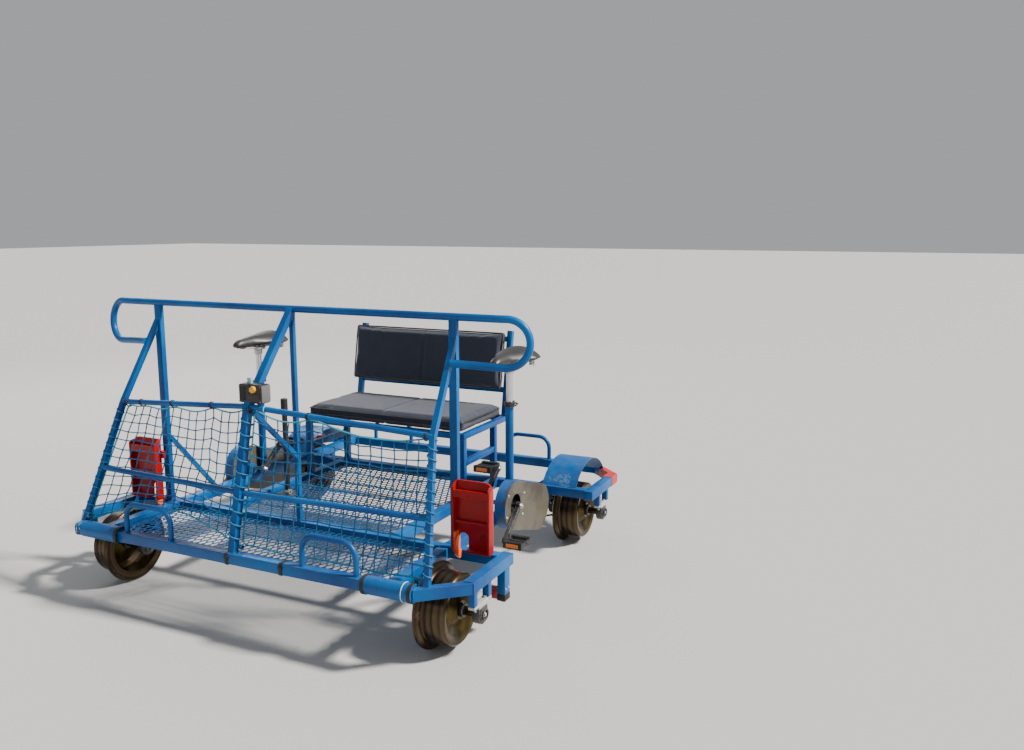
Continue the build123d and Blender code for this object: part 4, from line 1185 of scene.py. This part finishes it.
def chainPath(share):
    # place and heading along the closed line round the chainring and the sprocket, and its length
    frontY, frontZ, big = chainPlan["front"]
    rearY, rearZ, small = chainPlan["rear"]
    span = math.hypot(rearY - frontY, rearZ - frontZ)
    lean = math.atan2(rearZ - frontZ, rearY - frontY)
    openAngle = math.acos((big - small) / span)
    run = math.sqrt(span ** 2 - (big - small) ** 2)
    frontArc, rearArc = big * (2 * math.pi - 2 * openAngle), small * 2 * openAngle
    total = 2 * run + frontArc + rearArc
    place = share * total

    def onRing(ring, angle, gone=0.0):
        # a point at an angle of the ring, gone further along the straight run that leaves it there
        y, z, radius = chainPlan[ring]
        heading = angle - math.pi / 2
        return (y + radius * math.cos(angle) + gone * math.cos(heading),
                z + radius * math.sin(angle) + gone * math.sin(heading), heading, total)

    if place < run:
        return onRing("front", lean + openAngle, place)
    place -= run
    if place < rearArc:
        return onRing("rear", lean + openAngle - place / small)
    place -= rearArc
    if place < run:
        return onRing("rear", lean - openAngle, place)
    return onRing("front", lean - openAngle - (place - run) / big)


def linkShape(name, offset, pitch):
    # two plates with round ends, a roller and its pin; the link lies along Y
    plan = chainPlan
    pieces = []
    for way in (-1, 1):
        plate = startRound("plate", plan["plate"], plan["thin"], axis="X", steps=10)
        for vertex in plate.data.vertices:
            if abs(vertex.co.y) > 0.0005:
                vertex.co.y += math.copysign(pitch / 2, vertex.co.y)
            else:
                vertex.co.z *= 0.72
        plate.data.transform(Matrix.Translation((way * offset, 0, 0)))
        pieces.append(plate)
    for way in (-1, 1):
        roller = startRound("roller", plan["roller"] * 0.92, 2 * offset - plan["thin"],
                            (0, way * pitch / 2, 0), "X", steps=8)
        pick(roller, lambda centre, normal: abs(normal.x) > 0.9)
        bpy.ops.mesh.inset(thickness=0.0012, use_individual=True)
        leaveEdit()
        pieces.append(roller)
    return joined(pieces, name)


def makeChains():
    plan = chainPlan
    pitch = chainPath(0.0)[3] / plan["links"]
    shapes = [linkShape("innerLink", plan["innerHalf"], pitch),
              linkShape("outerLink", plan["outerHalf"], pitch)]
    links = []
    for number in range(plan["links"]):
        y, z, heading, total = chainPath((number + 0.5) / plan["links"])
        links.append(movedCopy(shapes[number % 2], (chainX, y, z), Matrix.Rotation(heading, 4, "X")))
    right = smoothed(joined(links, "chainRight"), 30)
    left = mirrored(right, "chainLeft")
    for shape in shapes:
        bpy.data.objects.remove(shape)
    for piece in (right, left):
        dressed(piece, "chain")
    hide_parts("chains")


def toothedRing(name, teeth, root, tip, inner, place, thick=0.0024):
    # a flat ring whose outline goes in and out, four points to a tooth
    clearSelection()
    bpy.ops.mesh.primitive_circle_add(vertices=teeth * 4, radius=tip, fill_type="NOTHING",
                                      location=(0, 0, 0), rotation=(0, math.radians(90), 0))
    ring = settle(named(name))
    for number, vertex in enumerate(ring.data.vertices):
        size = tip if number % 4 == 0 else root if number % 4 == 2 else (root + tip) / 2
        vertex.co.yz = vertex.co.yz.normalized() * size
    editAll(ring)
    bpy.ops.mesh.extrude_edges_move()
    leaveEdit()
    for vertex in ring.data.vertices:
        if vertex.select:
            vertex.co.yz = vertex.co.yz.normalized() * inner
    ring.data.transform(Matrix.Translation(place))
    applyModifier(ring, "SOLIDIFY", thickness=thick, offset=0)
    return smoothed(outward(ring), 30)


def makeSprockets():
    rearY = dict(axles)["rear"]
    for side, hand in sides:
        front = toothedRing("chainringTeeth" + hand.title(), 34, 0.0648, 0.0718, 0.0600,
                            (side * chainX, 0, crank["z"]))
        dressed(front, "bolt", body="crank_" + hand)
        rear = toothedRing("sprocketTeeth" + hand.title(), 16, 0.0288, 0.0358, 0.0240,
                           (side * chainX, rearY, axleZ))
        dressed(rear, "chain", body="wheel_rear_" + hand)
    plan = collarPlan
    for row, y in axles:
        for side, hand in sides:
            end, body = row.title() + hand.title(), f"wheel_{row}_{hand}"
            rings = [tubeRing("collar", (side * x, y, axleZ), "X", plan["inner"], plan["outer"],
                              plan["length"], 0.0015) for x in plan["at"]]
            rings = smoothed(joined(rings, "hubCollars" + end), 30)
            dressed(rings, "crank", body=body)
            screws = [((side * x, y, axleZ + plan["outer"]), (0, 0, 1), 0.45) for x in plan["at"]]
            bolted("collarScrews" + end, screws, body=body)


makeChains()
makeSprockets()
bpy.data.objects.remove(boltShape)
print("stage: chains and sprockets made")


# pedals: reflectors with a moulded grid, and tread ribs

reflectorPlan = {"wide": 0.050, "tall": 0.0135, "deep": 0.0036, "out": 0.0470, "column": 0.0045}
treadPlan = {"across": (-0.030, -0.018, -0.006, 0.006, 0.018, 0.030), "out": 0.037, "up": 0.0134,
             "rib": (0.004, 0.015, 0.0022)}


def reflectorAt(place, way):
    plan = reflectorPlan
    lens = startCube("lens", Matrix.Diagonal((plan["wide"], plan["deep"], plan["tall"], 1)))
    pick(lens, lambda centre, normal: normal.y < -0.9)
    bpy.ops.mesh.inset(thickness=0.0012)
    bpy.ops.mesh.subdivide(number_cuts=9)
    leaveEdit()
    for vertex in lens.data.vertices:
        if vertex.co.y < -plan["deep"] / 2 + 0.0002 and abs(vertex.co.x) < plan["wide"] / 2 - 0.0014:
            vertex.co.y += 0.0006 * (round(vertex.co.x / plan["column"]) % 2)
    applyModifier(lens, "BEVEL", width=0.0004, segments=1)
    if way > 0:
        lens.data.transform(Matrix.Rotation(math.pi, 4, "Z"))
    lens.data.transform(Matrix.Translation(place))
    return lens


def makePedalParts():
    plan = treadPlan
    for side, hand in sides:
        for spot, x, turn in pedals:
            x *= side
            y, z = pedalAxis(turn)
            end, body = hand.title() + spot.title(), f"pedal_{hand}_{spot}"
            lenses = [reflectorAt((x, y + way * reflectorPlan["out"], z), way) for way in (-1, 1)]
            lenses = smoothed(joined(lenses, "reflectors" + end), 20)
            dressed(lenses, "orange", body=body)
            ribs = [shapedBlock("rib", (x + place, y + way * plan["out"], z + up * plan["up"]),
                                plan["rib"], 0.0007)
                    for way in (-1, 1) for place in plan["across"] for up in (1, -1)]
            ribs = smoothed(joined(ribs, "pedalTread" + end), 30)
            dressed(ribs, "rubber", body=body)


makePedalParts()
print("stage: pedals dressed")


# straps, tape, box cover, lever grip

strapPlan = {
    "width": 0.014, "thick": 0.0017, "onBeam": (-0.020, 0.218), "onSleeve": (-0.5535, 0.5535, 0.7305),
    "whiteAt": 0.703, "whiteWidth": 0.0025,
    # half size, rounding and its steps round the square beam and round the sleeve, which stops at its back
    "beam": (0.0204, 0.002, 3), "sleeve": (0.0312, 0.0295, 8), "sleeveBack": -0.8042,
}


def strapRound(name, x, kind, width=strapPlan["width"]):
    half, corner, segments = strapPlan[kind]
    band = startCube(name, Matrix.Diagonal((width, 2 * half, 2 * half, 1)))
    pick(band, lambda centre, normal: abs(normal.x) > 0.9)
    bpy.ops.mesh.delete(type="FACE")
    bpy.ops.mesh.select_mode(type="EDGE")
    bpy.ops.mesh.select_all(action="DESELECT")
    leaveEdit()
    for edge in band.data.edges:
        first, second = (band.data.vertices[i].co for i in edge.vertices)
        edge.select = abs(first.x - second.x) > 0.001
    bpy.ops.object.mode_set(mode="EDIT")
    bpy.ops.mesh.bevel(offset=corner, segments=segments)
    leaveEdit()
    band.data.transform(Matrix.Translation((x, beamY, beamZ)))
    if kind == "sleeve":
        for vertex in band.data.vertices:
            vertex.co.y = min(vertex.co.y, strapPlan["sleeveBack"])
    outward(band)
    applyModifier(band, "SOLIDIFY", thickness=strapPlan["thick"], offset=1)
    return applyModifier(band, "BEVEL", width=0.0004, segments=1)


def makeStraps():
    pieces = [strapRound("strap", x, "beam") for x in strapPlan["onBeam"]]
    pieces += [strapRound("strap", x, "sleeve") for x in strapPlan["onSleeve"]]
    pieces += [shapedBlock("buckle", (x, -0.8475, 0.276), (0.017, 0.005, 0.013), 0.0014)
               for x in strapPlan["onBeam"]]
    dressed(smoothed(joined(pieces, "beamStraps"), 35), "rubber")
    band = strapRound("sleeveBand", strapPlan["whiteAt"], "sleeve", strapPlan["whiteWidth"])
    dressed(smoothed(band, 35), "white")


tapePlan = {
    "low": 0.2488, "high": 0.2912, "seed": 5, "crumple": 0.0005,
    # outer and inner side of the sleeve: along the outer rail, at its end, and on round the corner
    "stations": [((0.8909, 0.645), (0.8491, 0.645)), ((0.8909, 0.7124), (0.8491, 0.7117)),
                 ((0.8399, 0.7592), (0.8126, 0.7439)), ((0.8007, 0.7951), (0.7843, 0.7690))],
}


def makeTape():
    # red tape wound round the end of each outer rail and on round the bevelled rear corner
    stations = tapePlan["stations"]
    tape = startCube("cornerTapeRight")
    for vertex in tape.data.vertices:
        outer, inner = stations[1 if vertex.co.y > 0 else 0]
        x, y = outer if vertex.co.x > 0 else inner
        vertex.co = (x, y, tapePlan["high"] if vertex.co.z > 0 else tapePlan["low"])
    pick(tape, lambda centre, normal: centre.y > 0.705)
    for (outer, inner), (lastOuter, lastInner) in zip(stations[2:], stations[1:]):
        bpy.ops.mesh.extrude_region_move()
        leaveEdit()
        for vertex in tape.data.vertices:
            if vertex.select:
                x, y = outer if vertex.co.x > (lastOuter[0] + lastInner[0]) / 2 else inner
                vertex.co = (x, y, vertex.co.z)
        bpy.ops.object.mode_set(mode="EDIT")
    bpy.ops.mesh.select_all(action="SELECT")
    bpy.ops.mesh.subdivide(number_cuts=5)
    leaveEdit()
    chance = random.Random(tapePlan["seed"])
    for vertex in tape.data.vertices:
        shift = Vector((chance.uniform(-1, 1), chance.uniform(-1, 1), chance.uniform(-0.6, 1)))
        vertex.co += shift * tapePlan["crumple"]
    smoothed(outward(tape), 40)
    for piece in (tape, mirrored(tape, "cornerTapeLeft")):
        dressed(piece, "tape")


boxPlan = {
    "ribs": 8, "ribStep": 0.0062, "knobX": 0.012, "knobZ": 0.852, "ripple": 0.035, "notches": 7,
    "knob": [(0.0122, 0.0), (0.0126, 0.0035), (0.0121, 0.0085), (0.0116, 0.0118), (0.0084, 0.0137),
             (0.0020, 0.0140)],
}


def makeBoxDetails():
    # ribs on the box's front, a grey cover on its right side, a pale clip on top and the yellow knob
    plan = boxPlan
    ribs = [shapedBlock("rib", (-0.0405, -0.7006, 0.812 + plan["ribStep"] * row),
                        (0.026, 0.003, 0.0028), 0.0008) for row in range(plan["ribs"])]
    ribs.append(shapedBlock("lid", (0.012, -0.7003, 0.828), (0.050, 0.0035, 0.020), 0.0012))
    dressed(smoothed(joined(ribs, "boxRibs"), 30), "plastic")
    cover = shapedBlock("boxCover", (0.0452, -0.675, 0.8345), (0.0026, 0.045, 0.060), 0.0012)
    dressed(smoothed(cover, 30), "grey")
    clip = shapedBlock("boxClip", (-0.022, -0.678, 0.8765), (0.017, 0.011, 0.026), 0.0016)
    dressed(smoothed(clip, 30), "clip")
    knob = spunForm("boxKnob", plan["knob"], (plan["knobX"], -0.6995, plan["knobZ"]), (0, -1, 0), steps=28)
    for vertex in knob.data.vertices:
        x, z = vertex.co.x - plan["knobX"], vertex.co.z - plan["knobZ"]
        if math.hypot(z, x) > 0.008:
            ripple = 1 + plan["ripple"] * math.cos(plan["notches"] * math.atan2(z, x))
            vertex.co.x, vertex.co.z = plan["knobX"] + x * ripple, plan["knobZ"] + z * ripple
    dressed(knob, "yellow")


leverPlan = {"x": -0.310, "y": -0.150, "gripZ": 0.6395, "pivotZ": 0.286, "wide": 0.0152, "narrow": 0.0143}


def makeLeverGrip():
    plan = leverPlan
    wide, narrow = plan["wide"], plan["narrow"]
    rows = [(0.0145, 0.0), (wide, 0.002)]
    for ring in range(6):
        low = 0.006 + 0.0078 * ring
        rows += [(wide, low), (narrow, low + 0.0015), (narrow, low + 0.003), (wide, low + 0.0045)]
    rows += [(0.0150, 0.0535), (0.0132, 0.0560), (0.0080, 0.0572), (0.0015, 0.0574)]
    grip = spunForm("leverGrip", rows, (plan["x"], plan["y"], plan["gripZ"]), (0, 0, 1), steps=24)
    dressed(grip, "rubber")
    pivot = tubeRing("leverPivot", (plan["x"], plan["y"], plan["pivotZ"]), "X", 0.004, 0.012, 0.030, 0.0012)
    dressed(pivot, "bolt")


makeStraps()
makeTape()
makeBoxDetails()
makeLeverGrip()
print("stage: straps, tape and fittings made")


# weld beads where the bars meet

weldPlan = {"bead": 0.0020, "ripple": 0.0005, "step": 0.0058, "seed": 11}
weldRows = [
    # x, y, z, axis the joint faces, half sizes of the bar; "middle" has no mirror image, "round" is a tube
    (0.681, -0.449, 0.2905, "Z", 0.0150, 0.0110),
    (-0.009, -0.449, 0.2905, "Z", 0.0090, 0.0090, "middle"),
    (-0.0083, -0.8225, 0.2905, "Z", 0.0130, 0.0134, "middle"),
    (0.7685, -0.7994, 0.2905, "Z", 0.0100, 0.0108),
    (0.296, -0.825, 0.2905, "Z", 0.0100, 0.0100, "round"),
    (0.516, -0.825, 0.2905, "Z", 0.0100, 0.0100, "round"),
    (0.284, 0.825, 0.2905, "Z", 0.0100, 0.0100, "round"),
    (0.504, 0.825, 0.2905, "Z", 0.0100, 0.0100, "round"),
    (0.640, 0.085, 0.2905, "Z", 0.0170, 0.0170, "round"),
    (0.400, 0.130, 0.2905, "Z", 0.0125, 0.0125),
    (0.400, 0.420, 0.2905, "Z", 0.0125, 0.0125),
    (0.6513, -0.2217, 0.2905, "Z", 0.0080, 0.0104),
    (0.865, -0.440, 0.2495, "Z", 0.0150, 0.0200),
    (0.850, -0.440, 0.270, "X", 0.0200, 0.0200),
    (0.850, 0.420, 0.270, "X", 0.0200, 0.0200),
    (0.745, -0.825, 0.270, "X", 0.0200, 0.0200),
    (0.745, 0.825, 0.270, "X", 0.0200, 0.0200),
    (0.870, -0.712, 0.270, "Y", 0.0200, 0.0200),
    (0.870, 0.712, 0.270, "Y", 0.0200, 0.0200),
    (0.410, -0.420, 0.270, "Y", 0.0200, 0.0200),
    (0.410, 0.400, 0.270, "Y", 0.0200, 0.0200),
    (0.400, 0.1430, 0.4245, "Y", 0.0125, 0.0125),
    (0.400, 0.4070, 0.4245, "Y", 0.0125, 0.0125),
]
weldRows += [(innerX, y, beamZ, "Y", 0.0200, 0.0200) for y in (-0.805, -0.460, -0.420, 0.400, 0.440, 0.805)]
weldRows += [(x, y + shift, 0.2495, "Z", 0.0120, 0.0110)
             for x in (innerX, outerX) for row, y in axles for shift in (-0.051, 0.051)]


def weldLine(row, side, chance):
    x, y, z, axis, halfA, halfB = row[:6]
    flat = []
    if "round" in row:
        count = max(8, int(2 * math.pi * halfA / weldPlan["step"]))
        angles = [2 * math.pi * i / count for i in range(count)]
        flat = [(halfA * math.cos(angle), halfA * math.sin(angle)) for angle in angles]
    else:
        corners = [Vector((a * halfA, b * halfB)) for a, b in ((1, 1), (-1, 1), (-1, -1), (1, -1))]
        for first, second in zip(corners, corners[1:] + corners[:1]):
            count = max(2, int((second - first).length / weldPlan["step"]))
            flat += [first.lerp(second, i / count) for i in range(count)]
    line = []
    for a, b in flat:
        a *= 1 + chance.uniform(0, 1) * weldPlan["ripple"] / max(halfA, 0.001)
        shift = chance.uniform(-1, 1) * weldPlan["ripple"]
        offset = {"X": (shift, a, b), "Y": (a, shift, b), "Z": (a, b, shift)}[axis]
        line.append(Vector((x * side, y, z)) + Vector(offset))
    return line


def makeWelds():
    chance = random.Random(weldPlan["seed"])
    lines = [weldLine(row, side, chance)
             for row in weldRows for side in ((1,) if "middle" in row else (1, -1))]
    dressed(wire("weldBeads", lines, weldPlan["bead"], closed=True), "blue")


makeWelds()
print("stage: weld beads made")


print("stage: done")
